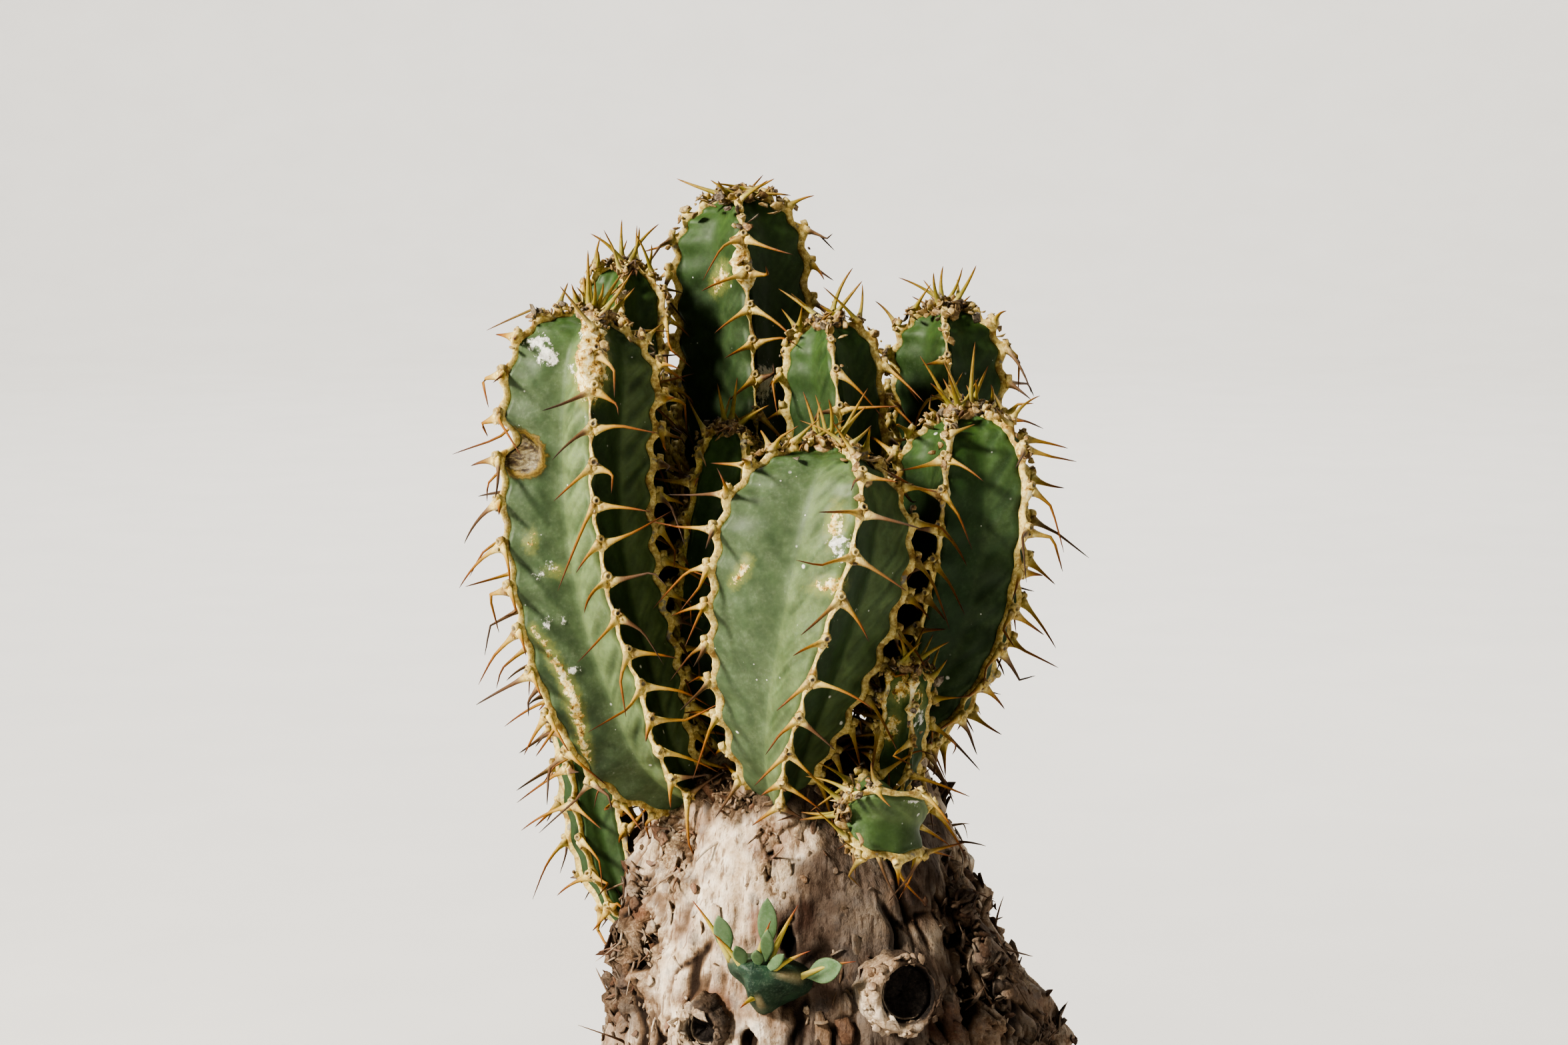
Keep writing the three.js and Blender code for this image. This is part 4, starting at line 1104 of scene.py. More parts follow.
def add_shields(shape, rng, ground, arm, rib, scale):
    """Spine pairs with the bud scar and the crumbs round each shield of one rib."""
    places = arm.shields
    centre, normal, side, ahead = arm.crest_points(places, rib)
    _, radius, _ = arm.crest(places)
    for k, place in enumerate(places):
        axes = (centre[k], normal[k], side[k], ahead[k])
        small = min(1, radius[k] / 5)
        add_pair(shape, rng, ground, arm, scale, arm.reach - place, *axes)
        if arm.horn is not BEHIND:
            add_bud_scar(shape, rng, centre[k], normal[k], ahead[k], scale * small)
        add_crumbs(shape, rng, arm, small, *axes)


def add_pair(shape, rng, ground, arm, scale, below, centre, normal, side, ahead):
    """The two spines of a shield, `below` the tip; near the crown one or both have often gone."""
    young = float(smooth_step(below, 16, 2))
    gone = 0.06 if below >= 9 else 0.5 if arm.radius > 12 else 0.75
    for way in (-1, 1):
        if rng.random() < gone:
            continue
        root = centre - 0.55 * normal + way * 0.35 * scale * side
        length = SPINE_LENGTH * rng.uniform(0.62, 1.16) * (0.78 + 0.22 * scale) * (1 - 0.15 * young)
        if rng.random() < 0.1 * (1 - young):
            length *= 0.55
        lean = rng.uniform(0.6, 1.2) * (1 - 0.35 * young)
        lift = -0.28 + 0.8 * young + rng.normal() * 0.26
        choices = [
            unit(outward * normal + way * lean * aside * side + (lift + rise) * ahead)
            for aside, rise, outward in HEADINGS
        ]
        add_spine(shape, rng, ground, root, choices, ahead, length, young, 0.82 + 0.18 * scale, arm.horn[2])


def add_crumbs(shape, rng, arm, small, centre, normal, side, ahead):
    """Crumbs of dead scale on a shield."""
    for _ in range(rng.integers(1, arm.horn[3] + 1)):
        spot = centre + normal * rng.uniform(-0.5, 0.25) + side * rng.uniform(-0.6, 0.6) * small
        spot = spot + ahead * rng.uniform(-1.1, 1.8)
        size = rng.uniform(0.25, 0.65)
        lie = normal + rng.normal(size=3) * 0.6
        crumb = flake(rng, spot, lie, size, 0.32, rng.uniform(-0.2, 0.5), 5)
        shape.add(*crumb, dust=rng.uniform(0, 1), dark=0.8 * (rng.random() < 0.25))


def add_bud_scar(shape, rng, centre, normal, ahead, scale):
    """A small round pit with a raised rim just above a pair of spines."""
    across = np.cross(ahead, normal)
    size = scale * rng.uniform(0.5, 0.68)
    middle = centre + ahead * 1.05 * scale + normal * (-0.05 * scale)
    turn = circle(8)
    rings, dark = [], []
    for reach, lift, tone in BUD_SCAR:
        rings.append(middle + turned(across, -ahead, turn) * reach * size + normal * lift * scale)
        dark.append(np.full(8, tone))
    tone = rng.uniform(0.35, 1.0)
    shape.add_loft(np.stack(rings)[:, ::-1], dark=np.stack(dark) * tone, dust=0.2)


def add_crown(shape, rng, ground, arm):
    """The arm's tip: a dry crust of old leaf bases and dead scraps, and a few upright young spines."""
    axes = [value[0] for value in arm.frames(np.array([arm.length]))]
    size = min(1.25, 0.55 + arm.radius / 20)
    add_crust(shape, rng, arm, size, *axes)
    add_dead_spines(shape, rng, size, *axes)
    add_young_spines(shape, rng, ground, arm, size, *axes)


def add_crust(shape, rng, arm, size, point, tangent, front, right):
    rings = []
    for reach, lift in ((2.6, -2.2), (2.9, -1.0), (2.3, -0.1), (1.2, 0.3)):
        ring = point + tangent * lift + turned(front, right, circle(20)) * reach * size
        rings.append(ring + tangent * (0.4 * noise(ring, 1.3, arm.seed))[:, None])
    shape.add_loft(np.stack(rings), dust=0.9)
    for _ in range(int(70 * size)):
        angle, reach = rng.uniform(0, 2 * np.pi), abs(rng.normal()) * 3.0 * size
        fall = 0.05 * reach**2 / size
        spot = point + turned(front, right, angle) * reach + tangent * (rng.uniform(-0.9, 0.9) - fall)
        add_chip(shape, rng, spot, tangent + rng.normal(size=3) * 0.9, 1.25 * size)
    count = int(15 * size)
    for rib in range(arm.ribs):
        along = arm.reach - rng.uniform(0.5, 20, count) * rng.uniform(0.25, 1, count)
        centre, normal, _, _ = arm.crest_points(along, rib, 0.3, rng.normal(size=count) * 0.8)
        for k in range(count):
            add_chip(shape, rng, centre[k], normal[k] + rng.normal(size=3) * 0.8, 0.9 * size)


def add_dead_spines(shape, rng, size, point, tangent, front, right):
    for _ in range(int(8 * size)):
        flat = turned(front, right, rng.uniform(0, 2 * np.pi))
        root = point + flat * rng.uniform(0.5, 4.0) * size - tangent * 0.7
        heading = unit(tangent * rng.uniform(0.1, 0.8) + flat + rng.normal(size=3) * 0.4)
        path, share = spine_path(rng, heading, -tangent, rng.uniform(1.5, 4.0), True)
        if (root + path)[:, 2].max() < CEILING:
            body = 0.26 * (1 - share) ** 0.5 + 0.03
            spine = spike(root, path, 1.5 * body, body, unit(np.cross(heading, tangent) + 1e-3), 5)
            shape.add(*spine, tip=0.45, dust=1.0, own=rng.uniform(0.66, 1), dark=0.5 * (rng.random() < 0.3))


def add_young_spines(shape, rng, ground, arm, size, point, tangent, front, right):
    count = arm.ribs + (2 if arm.radius > 12 else -1)
    for k in range(count):
        flat = turned(front, right, arm.phase + 2 * np.pi * (k + rng.uniform(0.1, 0.9)) / count)
        root = point + flat * rng.uniform(0.3, 1.5) * size - tangent * 0.6
        lean = rng.uniform(0.15, 1.0)
        choices = [
            unit(tangent + flat * lean), unit(tangent + flat * 1.4), unit(0.35 * tangent + flat), flat
        ]
        length = SPINE_LENGTH * rng.uniform(0.8, 1.25) * min(1, 0.66 + arm.radius / 30)
        add_spine(shape, rng, ground, root, choices, np.cross(flat, tangent), length, 1.0, 1.3, arm.horn[2])


def add_chip(shape, rng, spot, normal, size):
    """A dry papery scrap."""
    chip = rng.uniform(0.4, 1.1) * size
    points, faces = flake(rng, spot, normal, chip, 0.28, rng.uniform(-0.4, 0.7), 6, rng.uniform(0.8, 1.7))
    if points[:, 2].max() < CEILING:
        shape.add(points, faces, dust=rng.uniform(0.6, 1), dark=0.8 * (rng.random() < 0.22))


def margins_of(arm, ground):
    rng = np.random.default_rng(arm.seed)
    shape = Shape()
    for rib in range(arm.ribs):
        scale = strip(shape, arm, rib)
        add_shields(shape, rng, ground, arm, rib, scale)
    add_crown(shape, rng, ground, arm)
    return shape


# Caudex
BARK_ROWS, BARK_COLUMNS = 164, 420
BARK_FOOT, BARK_TOP = 80.0, 186.0
FRONT_DENSITY = 0.42 # how much closer the points of the bark lie at the front than at the sides

# Patches of the bark seen from the front: x, z, half width and half height
SMOOTH_BARK = [(5, 160, 12, 10), (-16, 165, 8, 6), (8, 171, 8, 5), (20, 147, 5, 6), (1, 152, 7, 5)]
CRUMBLY_BARK = [
    (-26.6, 167, 5, 13), (-7.4, 166, 2.4, 9), (28, 158, 5, 6), (-31, 148, 5, 12), (-16, 176, 12, 4),
    (8, 177, 12, 3),
]
FLUTED_BARK = [(-19, 147, 10, 17), (-4, 138, 10, 12), (-13, 150, 7, 12), (6, 134, 14, 9), (-20, 128, 16, 14),
               (14, 158, 9, 12), (-30, 160, 6, 12)]
FLAKY_BARK = [(29, 146, 10, 20), (-34, 143, 7, 18), (24, 134, 9, 9), (25, 156, 7, 6), (-33, 156, 5, 6)]
RUSTY_BARK = [(-9, 155, 5, 4), (21, 139, 5, 5), (-19, 141, 5, 3), (-33, 154, 4, 4), (-2, 157, 3, 3)]
# Patches of painted shadow, as under the arms
PAINTED_SHADE_BARK = [
    (16, 166, 14, 6), (-13, 177, 18, 6), (8, 178, 20, 6), (-35, 147, 6, 22), (2, 133, 18, 6),
    (-3, 154, 9, 7),
]
# Patches of painted light, where painted shade is taken away
PAINTED_LIGHT_BARK = [(-17, 163, 9, 8), (-20, 147, 8, 14), (-2, 170, 5, 5), (8, 172, 5, 3), (-26, 165, 5, 9)]
BARK_PITS = [
    (-4.9, 153.0, 1.7, 3.6), (26.5, 139.5, 1.5, 4.2), (-12.5, 135.6, 1.7, 2.8), (25.5, 150.3, 3.8, 1.0)
]


# Ends of lost branches
SCAR_SIDES, SCAR_CHIPS = 110, 90
# The callus from its foot to its lip: reach and lift, as shares of its thickness and height
CALLUS_PROFILE = [(1.5, -3.0), (1.25, -1.0), (1.08, 0.0), (0.92, 0.55), (0.7, 0.9), (0.45, 1.0), (0.2, 0.9),
                  (0.04, 0.72)]
# The dried end from its rim to its middle: share of its width, lift and how charred
END_PROFILE = [(0.955, 0.30, 0.7), (0.93, -0.5, 1), (0.90, -0.62, 1), (0.865, -0.2, 0.1), (0.83, -0.1, 0),
               (0.80, -0.4, 0.9), (0.72, -0.5, 1), (0.6, -0.45, 1), (0.46, -0.4, 1), (0.3, -0.5, 1),
               (0.14, -0.7, 1)]
# Loose bark: count, least and most half width, stretch and tilt of each kind of scale
SCALES = [(1050, 0.35, 1.1, (0.8, 1.8), 0.8), (320, 1.0, 2.2, (1.1, 2.4), 0.4)]
SPLINTERS = 210
# Chunks of cork: middle and size
KNOBS = [
    ((-37.0, -6, 133), 3.2), ((-34.5, -12, 143), 2.8), ((-31.5, -12, 155), 2.6), ((34.0, -17, 138), 2.8),
    ((30.0, -19, 148), 2.4), ((27.0, -16, 157), 2.6), ((35, -21, 128), 2.8), ((-38, 9, 127), 2.8),
    ((8, 38, 135), 3.0), ((-24, 29, 140), 3.0), ((31, 24, 138), 3.0),
]


def near_place(points, x, z, half_width, half_height):
    """1 in the middle of a patch seen from the front, 0 outside it."""
    away = np.sqrt(((points[..., 0] - x) / half_width) ** 2 + ((points[..., 2] - z) / half_height) ** 2)
    return smooth_step(away, 1.0, 0.35) * smooth_step(points[..., 1], 2, -6)


def zone(points, patches):
    """The strongest of some patches seen from the front: x, z, half width and half height."""
    return np.maximum.reduce([near_place(points, *patch) for patch in patches])


def bark_base():
    """The trunk's plain skin as rings of points, with each point's angle and outward direction."""
    height = BARK_FOOT + (BARK_TOP - BARK_FOOT) * np.sin(np.linspace(0, np.pi / 2, BARK_ROWS)) ** 1.05
    turn = circle(BARK_COLUMNS)
    x, y, radius = (np.interp(height, TRUNK[:, 0], TRUNK[:, k])[:, None] for k in (1, 2, 3))
    soft_radius = np.convolve(np.pad(radius[:, 0], 4, mode="edge"), np.ones(9) / 9, mode="valid")
    radius = np.where(height[:, None] < 181, soft_radius[:, None], radius)
    h, a = np.meshgrid(height, turn - FRONT_DENSITY * np.cos(turn), indexing="ij")
    flat = np.stack([np.cos(a), np.sin(a), np.zeros_like(a)], -1)
    return np.stack([x + radius * np.cos(a), y + radius * np.sin(a), h], -1), a, flat, radius


def bark_kinds(base, loosened, row, elsewhere):
    """How smooth, crumbly, fluted and flaky each point of the bark is."""
    smooth = zone(loosened, SMOOTH_BARK)
    crumbs = smooth_step(row, 0.72, 0.95) * smooth_step(noise(base, 15, 12), -0.5, 0.2)
    crumbly = np.maximum(zone(loosened, CRUMBLY_BARK), crumbs * (0.1 + 0.9 * elsewhere))
    grooved = elsewhere * smooth_step(noise(base, 17, 13), -0.25, 0.25)
    peeling = elsewhere * smooth_step(noise(base, 13, 14), 0.05, 0.45)
    fluted = np.maximum(zone(loosened, FLUTED_BARK), grooved)
    flaky = np.maximum(zone(loosened, FLAKY_BARK), peeling)
    crumbly = crumbly * (1 - 0.85 * smooth)
    return smooth, crumbly, fluted * (1 - 0.6 * smooth) * (1 - 0.5 * crumbly), flaky * (1 - 0.9 * smooth)


def bark_surface():
    """The caudex skin as rings of points, with its outward directions and the values that colour it."""
    base, a, flat, radius = bark_base()
    x, y, h = (base[..., k] for k in range(3))
    sway = np.stack([noise(base, 8, 200 + k) + 0.5 * noise(base, 3.5, 210 + k) for k in range(3)], -1)
    warped, loosened = base + 1.7 * sway, base + 2.2 * sway
    row = np.cos(11 * (a + 0.35 * 2 * np.pi * h / 100 + 0.05 * noise(base, 12, 3)))
    bead = 0.6 + 0.4 * np.cos(2 * np.pi * h / 9 + 2 * a)
    lumps = np.sin(3 * a + h / 9) + 0.6 * np.sin(5 * a - h / 6 + 1)
    elsewhere = 1 - smooth_step(near_place(base, 0, 156, 44, 40), 0.0, 0.5)
    smooth, crumbly, fluted, flaky = bark_kinds(base, loosened, row, elsewhere)

    furrow = np.abs(noise(warped * [1, 1, 0.13], 3.4, 21)) ** 0.7
    thread = np.abs(noise(warped * [1, 1, 0.13], 1.5, 22)) ** 0.8
    folds = 2.2 * (furrow - 0.5) + 0.9 * (thread - 0.5)
    wrinkle = np.abs(noise((base + 0.8 * sway) * [1, 1, 0.3], 1.7, 23)) ** 0.8 - 0.4
    edge, own = cells(warped * [1, 1, 0.5], 4.2, 31)
    shard = 2.2 * (own - 0.45) - 1.5 * (1 - smooth_step(edge, 0.0, 0.16))
    beads, bead_own = cells(warped, 1.9, 39)
    grit = 1.3 * smooth_step(beads, 0.0, 0.3) * (0.25 + bead_own) - 0.75 + 0.5 * rough(base, 1.2, 2, 37)
    soft = noise(base * [1, 1, 0.4], 8, 51) + 0.45 * noise(base * [1, 1, 0.45], 3.5, 52)
    fine = rough(base, 2.2, 3, 41)
    pit = zone(base + 0.6 * sway + 0.5 * rough(base, 1.6, 2, 44)[..., None], BARK_PITS) ** 0.7

    tubercles = 2.2 * np.maximum(0, row) ** 2 * bead * (0.35 + 0.65 * np.maximum(elsewhere, crumbly))
    rise = soft + fluted * folds + flaky * shard + crumbly * grit + 0.5 * wrinkle
    rise = tubercles + 0.75 * lumps + rise + 0.16 * fine * (1 + flaky) - 3.4 * pit
    bared = smooth_step(h, 88, 98) * np.minimum(1, radius / 20)
    points = base + flat * (rise * bared + 0.3 * fine * (1 - bared))[..., None]

    depth = 0.9 * fluted * (folds + 0.1) + 0.6 * flaky * shard + 0.75 * crumbly * grit
    depth = depth + 0.35 * wrinkle - 2.4 * pit
    brown = 0.95 * flaky * (0.6 + 0.8 * own) + 0.25 * crumbly
    brown = (brown + 0.35 * smooth_step(noise(base, 7, 62), 0.3, 0.7)) * (1 - 0.8 * smooth)
    red = zone(loosened, RUSTY_BARK) + 0.6 * smooth_step(noise(base, 8, 61), 0.5, 0.85)
    # Painted shade: the bark right of the trunk's middle is darkened, less at the far right and towards the
    # back; patches of painted shadow add to it and patches of painted light take it away
    facing = 0.35 + 0.65 * smooth_step(y, 10, -12)
    shade = facing * (0.72 * smooth_step(x, -12, 2) - 0.36 * smooth_step(x, 14, 28))
    shade = shade + 0.6 * zone(loosened, PAINTED_SHADE_BARK) - 0.5 * zone(loosened, PAINTED_LIGHT_BARK)
    brown, red, shade = (np.clip(value, 0, 1) for value in (brown, red, shade))
    values = dict(depth=depth, crumble=crumbly, brown=brown, red=red, shade=shade)
    return points, flat, np.maximum(crumbly, flaky), values


def painted_shade_at(spot):
    """How dark a loose piece of bark is painted: darker on the right side, as painted shading away from the
    key lamp, and darker at the left edge.
    """
    return float(np.clip(0.55 * smooth_step(spot[0], -8, 8) + 0.5 * smooth_step(-spot[0], 27, 33), 0, 1))


def end_scar(shape, rng, middle, outward, end, callus, stand):
    """A lost branch: its dried, charred end in an uneven callus that is thickest on one side."""
    third = unit(np.array(outward, float))
    first = unit(np.cross([0, 0, 1], third))
    second = np.cross(third, first)
    turn = circle(SCAR_SIDES)
    flat = turned(first, second, turn)
    around = level_ring(turn, 1, 0)
    heavy = (0.5 + 0.5 * np.cos(turn - math.radians(HEAVY_SIDE))) ** 1.6
    torn = noise(around * 3.1, 1, 72) + 0.6 * noise(around * 8, 1, 76)
    disc = 1 / np.hypot(np.cos(turn) / end[0], np.sin(turn) / end[1]) * (1 + 0.04 * noise(around * 2, 1, 70))
    thick = callus[0] + (callus[1] - callus[0]) * heavy + 0.28 * torn
    tall = stand * (0.45 + 0.55 * heavy) + 0.35 * torn
    rim = 0.45 + 0.55 * np.cos(turn - math.radians(HEAVY_SIDE + 25))
    rings, chars = [], []
    for reach, lift in CALLUS_PROFILE:
        ring = middle + flat * (disc + thick * reach)[:, None] + third * (tall * lift)[:, None]
        jag = 0.55 * rough(ring, 1.5, 3, 73) * min(1, reach + 0.3)
        rings.append(ring + third * jag[:, None] + flat * (0.6 * jag)[:, None])
        chars.append(np.zeros(SCAR_SIDES))
    for share, lift, char in END_PROFILE:
        edge = share > 0.81
        level = stand * lift * (1 if edge else 1 + 0.3 * noise(around * 4, 1, 74))
        if char < 0.5:
            level = stand * (-0.5 + (lift + 0.5) * rim)
        ring = middle + flat * (disc * share)[:, None] + third * np.broadcast_to(level, SCAR_SIDES)[:, None]
        grain = 0.4 * rough(ring, 1.1, 3, 75) * (1 - 0.6 * edge)
        rings.append(ring + third * grain[:, None])
        chars.append(np.clip(np.where(rim > 0.55, char, 1.0), 0, 1))
    chars = np.stack(chars)
    rings = np.stack(rings)
    # Painted shade: the callus is darkened towards its right and upper side
    callus_painted_shade = np.clip(
        (rings @ first - middle @ first) / 4 + 0.35 + (rings @ second - middle @ second) / 9, 0, 0.85
    )
    shape.add_loft(rings, depth=0.35, char=chars, crumble=0.5 * (1 - chars), shade=callus_painted_shade)
    for _ in range(SCAR_CHIPS):
        aside = rng.normal() * 1.3
        angle = math.radians(HEAVY_SIDE) + aside
        way = turned(first, second, angle)
        lie = end[0] + callus[1] * rng.uniform(0.1, 1.25) * (0.35 + 0.65 * math.cos(aside / 2) ** 2)
        spot = middle + way * lie + third * stand * rng.uniform(-0.2, 0.8)
        normal = way * rng.uniform(0.1, 1) + third * 0.7 + rng.normal(size=3) * 0.4
        chip = flake(
            rng, spot, normal, rng.uniform(0.4, 1.5), 0.35, rng.uniform(-0.3, 0.6), 7, rng.uniform(0.7, 1.7)
        )
        tones = dict(crumble=rng.uniform(0, 0.6), brown=0.6 * (rng.random() < 0.3))
        # Painted shade on chips lying to the right of the end
        shape.add(*chip, depth=0.4, shade=0.7 * max(0, math.cos(angle)), **tones)


def add_litter(shape, points, flat, loose):
    """Curled scales, splinters and dead spines standing off the bark."""
    rng = np.random.default_rng(77)
    rows, columns, _ = points.shape
    spacing = np.linalg.norm(points - np.roll(points, 1, axis=1), axis=-1)
    keep = loose**2 * spacing / spacing.max()
    for count, least, most, stretch, tilt in SCALES:
        added = 0
        while added < count:
            i, j = rng.integers(30, rows - 6), rng.integers(0, columns)
            if rng.random() > 0.02 + 1.6 * keep[i, j]:
                continue
            spot, way = points[i, j], flat[i, j]
            normal = way + rng.normal(size=3) * tilt
            size = rng.uniform(least, most)
            up = [rng.normal() * 0.4, rng.normal() * 0.4, 1]
            chip = flake(rng, spot + way * 0.15 * size, normal, size, rng.uniform(0.15, 0.4),
                         rng.uniform(0.0, 0.9), 6, rng.uniform(*stretch), up=up)
            tones = dict(
                crumble=rng.uniform(0, 0.8), brown=rng.uniform(0, 1.3), red=0.8 * (rng.random() < 0.2)
            )
            # Painted shade by the scale's place on the trunk
            shape.add(*chip, depth=rng.uniform(-0.3, 0.7), shade=painted_shade_at(spot), **tones)
            added += 1
    added = 0
    while added < SPLINTERS:
        i, j = rng.integers(34, rows - 6), rng.integers(0, columns)
        if rng.random() > 0.03 + 1.6 * keep[i, j]:
            continue
        spot, way = points[i, j], flat[i, j]
        heading = unit(way * 0.6 + rng.normal(size=3) * 0.8)
        path, share = spine_path(
            rng, heading, np.array([0, 0, -1.0]), rng.uniform(2.0, 7.0), rng.random() < 0.4
        )
        body = 0.23 * (1 - share) ** 0.7 + 0.03
        shape.add(
            *spike(spot - heading * 0.4, path, body * 1.3, body, unit(np.cross(heading, way) + 1e-3), 5),
            depth=rng.uniform(-0.5, 0.3), brown=rng.uniform(0.2, 1), red=0.8 * (rng.random() < 0.35),
            # Half the painted shade of the splinter's place
            shade=0.5 * painted_shade_at(spot),
        )
        added += 1


def add_knobs(shape):
    """Chunks of layered, splitting cork at the edges of the trunk."""
    rng = np.random.default_rng(5)
    for middle, size in KNOBS:
        middle = np.array(middle, float)
        outward = unit(middle * np.array([1, 1, 0]))
        for _ in range(int(10 * size)):
            away = rng.normal(size=3) * size * np.array([0.45, 0.45, 0.75]) - outward * 0.4 * size
            normal = outward * 0.5 + unit(away) * 0.7 + rng.normal(size=3) * 0.5
            chunk = rng.uniform(0.3, 0.68) * size
            points, faces = flake(
                rng, middle + away, normal, chunk, rng.uniform(0.35, 0.9), rng.uniform(-0.2, 0.5), 8,
                rng.uniform(0.9, 2.0), up=[0, 0, 1],
            )
            points = points + 0.22 * noise(points, 1.2, 3)[:, None] * outward
            tones = dict(
                crumble=rng.uniform(0, 0.8), brown=rng.uniform(0, 1), red=0.6 * (rng.random() < 0.3)
            )
            # Painted shade by the knob's place on the trunk
            shape.add(points, faces, depth=rng.uniform(-0.2, 0.6), shade=painted_shade_at(middle), **tones)


def build_caudex(look):
    points, flat, loose, values = bark_surface()
    bark = Shape()
    bark.add_loft(points, **values)
    ground = Shape()
    ground.add_loft(points[::3, ::4])
    rng = np.random.default_rng(3)
    detail = Shape()
    end_scar(detail, rng, **CUT_BRANCH)
    end_scar(detail, rng, **KNOT)
    add_litter(detail, points, flat, loose)
    add_knobs(detail)
    bark.build("bark", look, "bark", "caudex")
    detail.build("bark_litter", look, "bark", "caudex")
    return ground


# Young shoot
def add_shoot_body(shape, apex, right, up, forward, depth):
    """The lobed green body, with horny edges along its lobes."""
    turn = circle(72)
    lobes = [(np.maximum(0, np.cos(turn - math.radians(angle))), far) for angle, far in SHOOT_LOBES]
    reach = SHOOT["core"] + sum((far - SHOOT["core"]) * lobe ** SHOOT["sharpness"] for lobe, far in lobes)
    edge = smooth_step(sum(lobe**24 for lobe, _ in lobes), 0.72, 0.95)
    rings, cream = [], []
    for share in np.linspace(0, 0.995, 26) ** 0.7:
        radius = (reach * math.sqrt(1 - share**3))[:, None]
        rings.append(apex + turned(right, up, turn) * radius + forward * (share - 1) * depth)
        cream.append(edge * smooth_step(radius[:, 0], 3.4, 5.0) * smooth_step(share, 0.5, 0.8))
    rings, cream = np.stack(rings), np.stack(cream)
    outward = unit(rings - rings.mean(1, keepdims=True))
    rise = 0.3 * noise(rings, 2.5, 7) + 0.45 * cream * (0.6 + 0.4 * noise(rings, 0.9, 8))
    rings = rings + outward * rise[..., None]
    shape.add_loft(rings[:, ::-1], cream=cream[:, ::-1])


def add_leaf(shape, start, end, width, forward):
    """A small cupped leaf, arched between its root and its tip."""
    along = unit(end - start)
    side = unit(np.cross(along, forward))
    normal = np.cross(side, along)
    share = np.linspace(0, 1, 15)
    breadth = width / 2 * np.clip(np.sin(np.pi * share**1.25) ** 0.75, 0.04, 1)
    breadth = breadth * (0.3 + 0.7 * smooth_step(share, 0, 0.45))
    breadth = np.maximum(breadth, 0.24 * (1 - share) + 0.02)[:, None]
    thick = (0.16 + 0.28 * np.sin(np.pi * share) ** 0.6)[:, None]
    arch = 0.9 * np.sin(np.pi * share) * width / 4
    middle = start + share[:, None] * (end - start) - normal * arch[:, None]
    around = circle(14)
    lift = thick * np.sin(around) + 0.22 * breadth * np.cos(around) ** 2
    rings = middle[:, None, :] + side * (breadth * np.cos(around))[..., None] + normal * lift[..., None]
    mirrored = np.dot(np.cross(side, normal), along) < 0
    shape.add_loft(rings[:, ::-1] if mirrored else rings, leaf=1.0)


def add_shoot_spine(shape, start, end, up):
    length, way = np.linalg.norm(end - start), unit(end - start)
    share = np.array([0, 0.08, 0.2, 0.4, 0.6, 0.8, 0.92, 1.0])
    path = way * (share * length)[:, None] + up * (0.05 * length * np.sin(np.pi * share))[:, None]
    body = 0.62 * (1 - share) ** 0.9 + 0.03
    points, faces = spike(start, path, body * 1.15, body, unit(np.cross(way, up) + 1e-3), 8)
    shape.add(points, faces, tip=with_caps(np.broadcast_to(share[:, None], (8, 8))), spiny=1.0)


def build_shoot(look):
    apex, root = np.array(SHOOT["apex"]), np.array(SHOOT["root"], float)
    forward = unit(apex - root)
    up = unit(np.array([0, 0, 1.0]) - forward * forward[2])
    right = -np.cross(forward, up)
    axes = np.array([right, up, forward])
    shape = Shape()
    add_shoot_body(shape, apex, right, up, forward, np.linalg.norm(apex - root))
    for start, end, width in SHOOT_LEAVES:
        add_leaf(shape, apex + np.array(start) @ axes, apex + np.array(end) @ axes, width, forward)
    for start, end in SHOOT_SPINES:
        add_shoot_spine(shape, apex + np.array(start) @ axes, apex + np.array(end) @ axes, up)
    shape.build("young_shoot_skin", look, "young_flesh", "young_shoot")


# Soil and pot
SOIL_SIDES, GRIT = 120, 760
POT_SIDES, POT_STEP = 128, 2.2
DRILLED = (-5.0, 20.0) # from below the pot's foot to above its floor


def pot_wall(height):
    share = (height - POT["floor"]) / (POT["height"] - POT["floor"])
    return POT["foot"] + (POT["top"] - POT["step"] - POT["foot"]) * share - POT["wall"]


def build_soil(look):
    rng = np.random.default_rng(9)
    shape = Shape()
    turn = circle(SOIL_SIDES)
    top, edge = SOIL["top"], SOIL["top"] - SOIL["edge_dip"]
    rim = pot_wall(edge) - 0.5
    profile = [
        (pot_wall(POT["floor"]) - 5.5, SOIL["foot"]), (pot_wall(POT["floor"] + 6) - 0.7, SOIL["foot"] + 6),
        (rim, edge),
    ]
    reaches = np.linspace(rim, 30, 34)[1:]
    profile += [(reach, edge + (top - edge) * smooth_step(reach, rim, rim - 10)) for reach in reaches]
    profile += [(20.0, top), (8.0, top)]
    rings = []
    for reach, height in profile:
        ring = level_ring(turn, reach, height)
        if height >= edge and reach < rim:
            ring[:, 2] += 0.9 * rough(ring, 7, 3, 12) + 0.5 * rough(ring, 1.6, 2, 13) - 0.4
        rings.append(ring)
    shape.add_loft(np.stack(rings))
    for _ in range(GRIT):
        reach = rim * math.sqrt(rng.uniform(0.36, 0.985))
        angle = rng.uniform(0, 2 * np.pi)
        height = edge + (top - edge) * float(smooth_step(reach, rim, rim - 10)) + rng.uniform(-0.2, 0.7)
        size = rng.uniform(0.6, 2.4) * rng.uniform(0.6, 1)
        if reach + size > rim:
            continue
        spot = np.array([reach * math.cos(angle), reach * math.sin(angle), height])
        points, faces = flake(rng, spot, rng.normal(size=3), size, size * rng.uniform(0.8, 1.4), 0.0, 6)
        shape.add(points, faces, stone=float(rng.random() < 0.75), own=rng.random())
    shape.build("soil_and_grit", look, "soil", "soil")


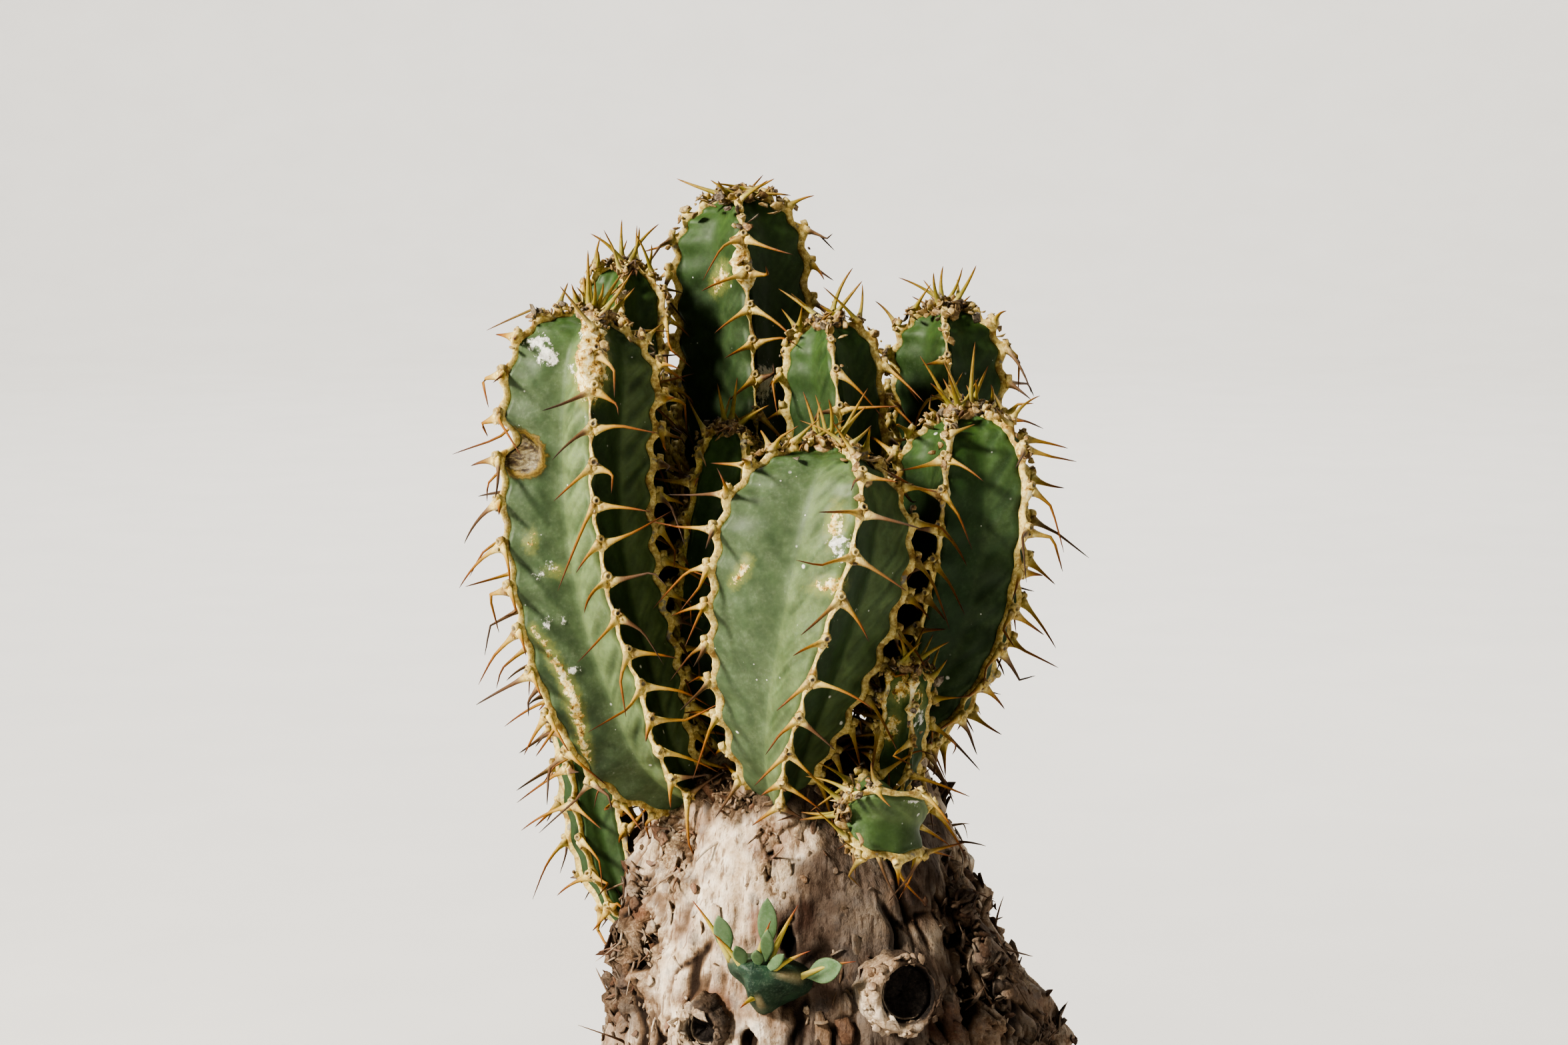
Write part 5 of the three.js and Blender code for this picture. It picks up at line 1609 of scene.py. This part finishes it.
def build_pot(look):
    height, top, foot, rim = POT["height"], POT["top"], POT["foot"], POT["rim"]
    rim_foot = height - rim
    under = foot + (top - POT["step"] - foot) * rim_foot / height
    outline = [
        (foot - 1.2, 0), (foot, 1.2), (foot + 0.5 * (under - foot), rim_foot / 2), (under, rim_foot - 0.4),
        (under + 0.5, rim_foot + 0.2), (top - 1.4, rim_foot + 1.2), (top - 0.6, rim_foot + 2.4),
        (top - 0.35, rim_foot + rim / 2), (top - 0.2, height - 2.6), (top - 0.9, height - 0.9),
        (top - 2.2, height - 0.2), (pot_wall(height) + 1.6, height - 0.25),
        (pot_wall(height) + 0.4, height - 1.2), (pot_wall(height - 12), height - 12),
        (pot_wall(POT["floor"] + 6), POT["floor"] + 6), (pot_wall(POT["floor"]) - 5, POT["floor"]),
    ]
    fine = []
    for (r0, z0), (r1, z1) in zip(outline, outline[1:]):
        count = max(1, round(math.hypot(r1 - r0, z1 - z0) / POT_STEP))
        fine += [(r0 + (r1 - r0) * k / count, z0 + (z1 - z0) * k / count) for k in range(count)]
    fine.append(outline[-1])
    turn = circle(POT_SIDES)
    outward = level_ring(turn, 1, 0)
    rings = []
    for radius, level in fine:
        ring = level_ring(turn, radius, level)
        inside = radius < pot_wall(max(level, POT["floor"])) + 1
        shift = 0.10 * rough(ring * np.array([1, 1, 0.4]), 14, 3, 15) - 0.16 + 0.07 * math.sin(level * 1.7)
        if level > 0:
            ring = ring + outward * (shift * (-0.5 if inside else 1))[:, None]
        rings.append(ring)
    shape = Shape()
    shape.add_loft(np.stack(rings))
    pot = shape.build("clay_pot", look, "terracotta", "pot")
    for k in range(POT["drains"]):
        angle = 2 * np.pi * (k + 0.5) / POT["drains"]
        middle = np.array([POT["drain_ring"] * math.cos(angle), POT["drain_ring"] * math.sin(angle), 0])
        drill = Shape()
        drill.add_loft(np.stack([level_ring(turn[::8], POT["drain"], z) + middle for z in DRILLED]))
        cutter = drill.build("drill", look, "terracotta")
        cut = pot.modifiers.new("drain", "BOOLEAN")
        cut.operation, cut.solver, cut.object = "DIFFERENCE", "EXACT", cutter
        bpy.context.view_layer.objects.active = pot
        bpy.ops.object.modifier_apply(modifier=cut.name)
        bpy.data.objects.remove(cutter)


# Surroundings
FLOOR_REACH, WALL_BEND, WALL_TOP = 2600.0, 1000.0, 3200.0
CAMERA = dict(target=(-0.0059, 0, 0.2221), distance=0.65, elevation=8, lens=83, sensor=36)
MIDDLE = (0, 0, 0.2)
# Lamps, in metres and watts: name, place, aim, size, power and colour
LAMPS = [
    ("key", (-0.84, -0.60, 0.84), MIDDLE, 0.20, 25, (1.0, 0.94, 0.84)),
    ("fill", (0.95, -0.9, 0.45), MIDDLE, 0.9, 0.4, (0.92, 0.96, 1.0)),
    ("rim", (0.5, 0.9, 0.8), MIDDLE, 0.6, 1.8, (1.0, 0.97, 0.92)),
    ("wall", (0, 1.4, 2.3), (0, 3.2, 0.2), 1.6, 60, (1.0, 0.98, 0.95)),
]
SKY = dict(colour=(0.93, 0.95, 1.0, 1), strength=0.11)


def build_stage():
    """A pale floor that turns up into a round wall far behind everything."""
    turn = circle(96)
    profile = [(1.0, 0.0), (FLOOR_REACH, 0.0)]
    for angle in np.linspace(0.1, np.pi / 2, 12):
        profile.append((FLOOR_REACH + WALL_BEND * math.sin(angle), WALL_BEND - WALL_BEND * math.cos(angle)))
    profile.append((FLOOR_REACH + WALL_BEND, WALL_TOP))
    rings = np.stack([level_ring(turn, reach, height) for reach, height in profile])
    mesh = bpy.data.meshes.new("backdrop")
    mesh.from_pydata((rings.reshape(-1, 3) * MM).tolist(), [], band(len(profile), len(turn)).tolist())
    mesh.shade_smooth()
    mesh.materials.append(paper_look())
    backdrop = bpy.data.objects.new("backdrop", mesh)
    bpy.context.scene.collection.objects.link(backdrop)


def add_light(name, place, aim, size, power, colour):
    lamp = bpy.data.lights.new(name, "AREA")
    lamp.shape, lamp.size, lamp.energy, lamp.color = "DISK", size, power, colour
    light = bpy.data.objects.new(name, lamp)
    light.location = place
    light.rotation_euler = (Vector(aim) - Vector(place)).to_track_quat("-Z", "Y").to_euler()
    bpy.context.scene.collection.objects.link(light)


def add_camera():
    target, elevation = Vector(CAMERA["target"]), math.radians(CAMERA["elevation"])
    camera = bpy.data.objects.new("camera", bpy.data.cameras.new("camera"))
    camera.data.lens, camera.data.sensor_width = CAMERA["lens"], CAMERA["sensor"]
    camera.location = target + CAMERA["distance"] * Vector((0, -math.cos(elevation), math.sin(elevation)))
    camera.rotation_euler = (target - camera.location).to_track_quat("-Z", "Y").to_euler()
    bpy.context.scene.collection.objects.link(camera)
    bpy.context.scene.camera = camera


def light_scene():
    for lamp in LAMPS:
        add_light(*lamp)
    world = bpy.data.worlds.new("sky")
    world.use_nodes = True
    background = world.node_tree.nodes["Background"]
    background.inputs[0].default_value = SKY["colour"]
    background.inputs[1].default_value = SKY["strength"]
    bpy.context.scene.world = world
    bpy.context.scene.view_settings.view_transform = "AgX"
    bpy.context.scene.view_settings.look = "AgX - High Contrast"


add_camera()
light_scene()
build_stage()

bark = bark_look()
caudex = build_caudex(bark)
arms = [Arm(name, *data) for name, data in ARMS.items()]
skins = {arm.name: skin_of(arm) for arm in arms}
green = flesh_look()
for arm in arms:
    skins[arm.name].build(f"skin_{arm.name}", green, "flesh", f"arm_{arm.name}")
ground = Ground([caudex, *skins.values()])
horn = horn_look()
for arm in arms:
    margins_of(arm, ground).build(f"horn_{arm.name}", horn, "horn", f"margins_{arm.name}")
build_shoot(shoot_look())
build_soil(soil_look())
build_pot(clay_look())
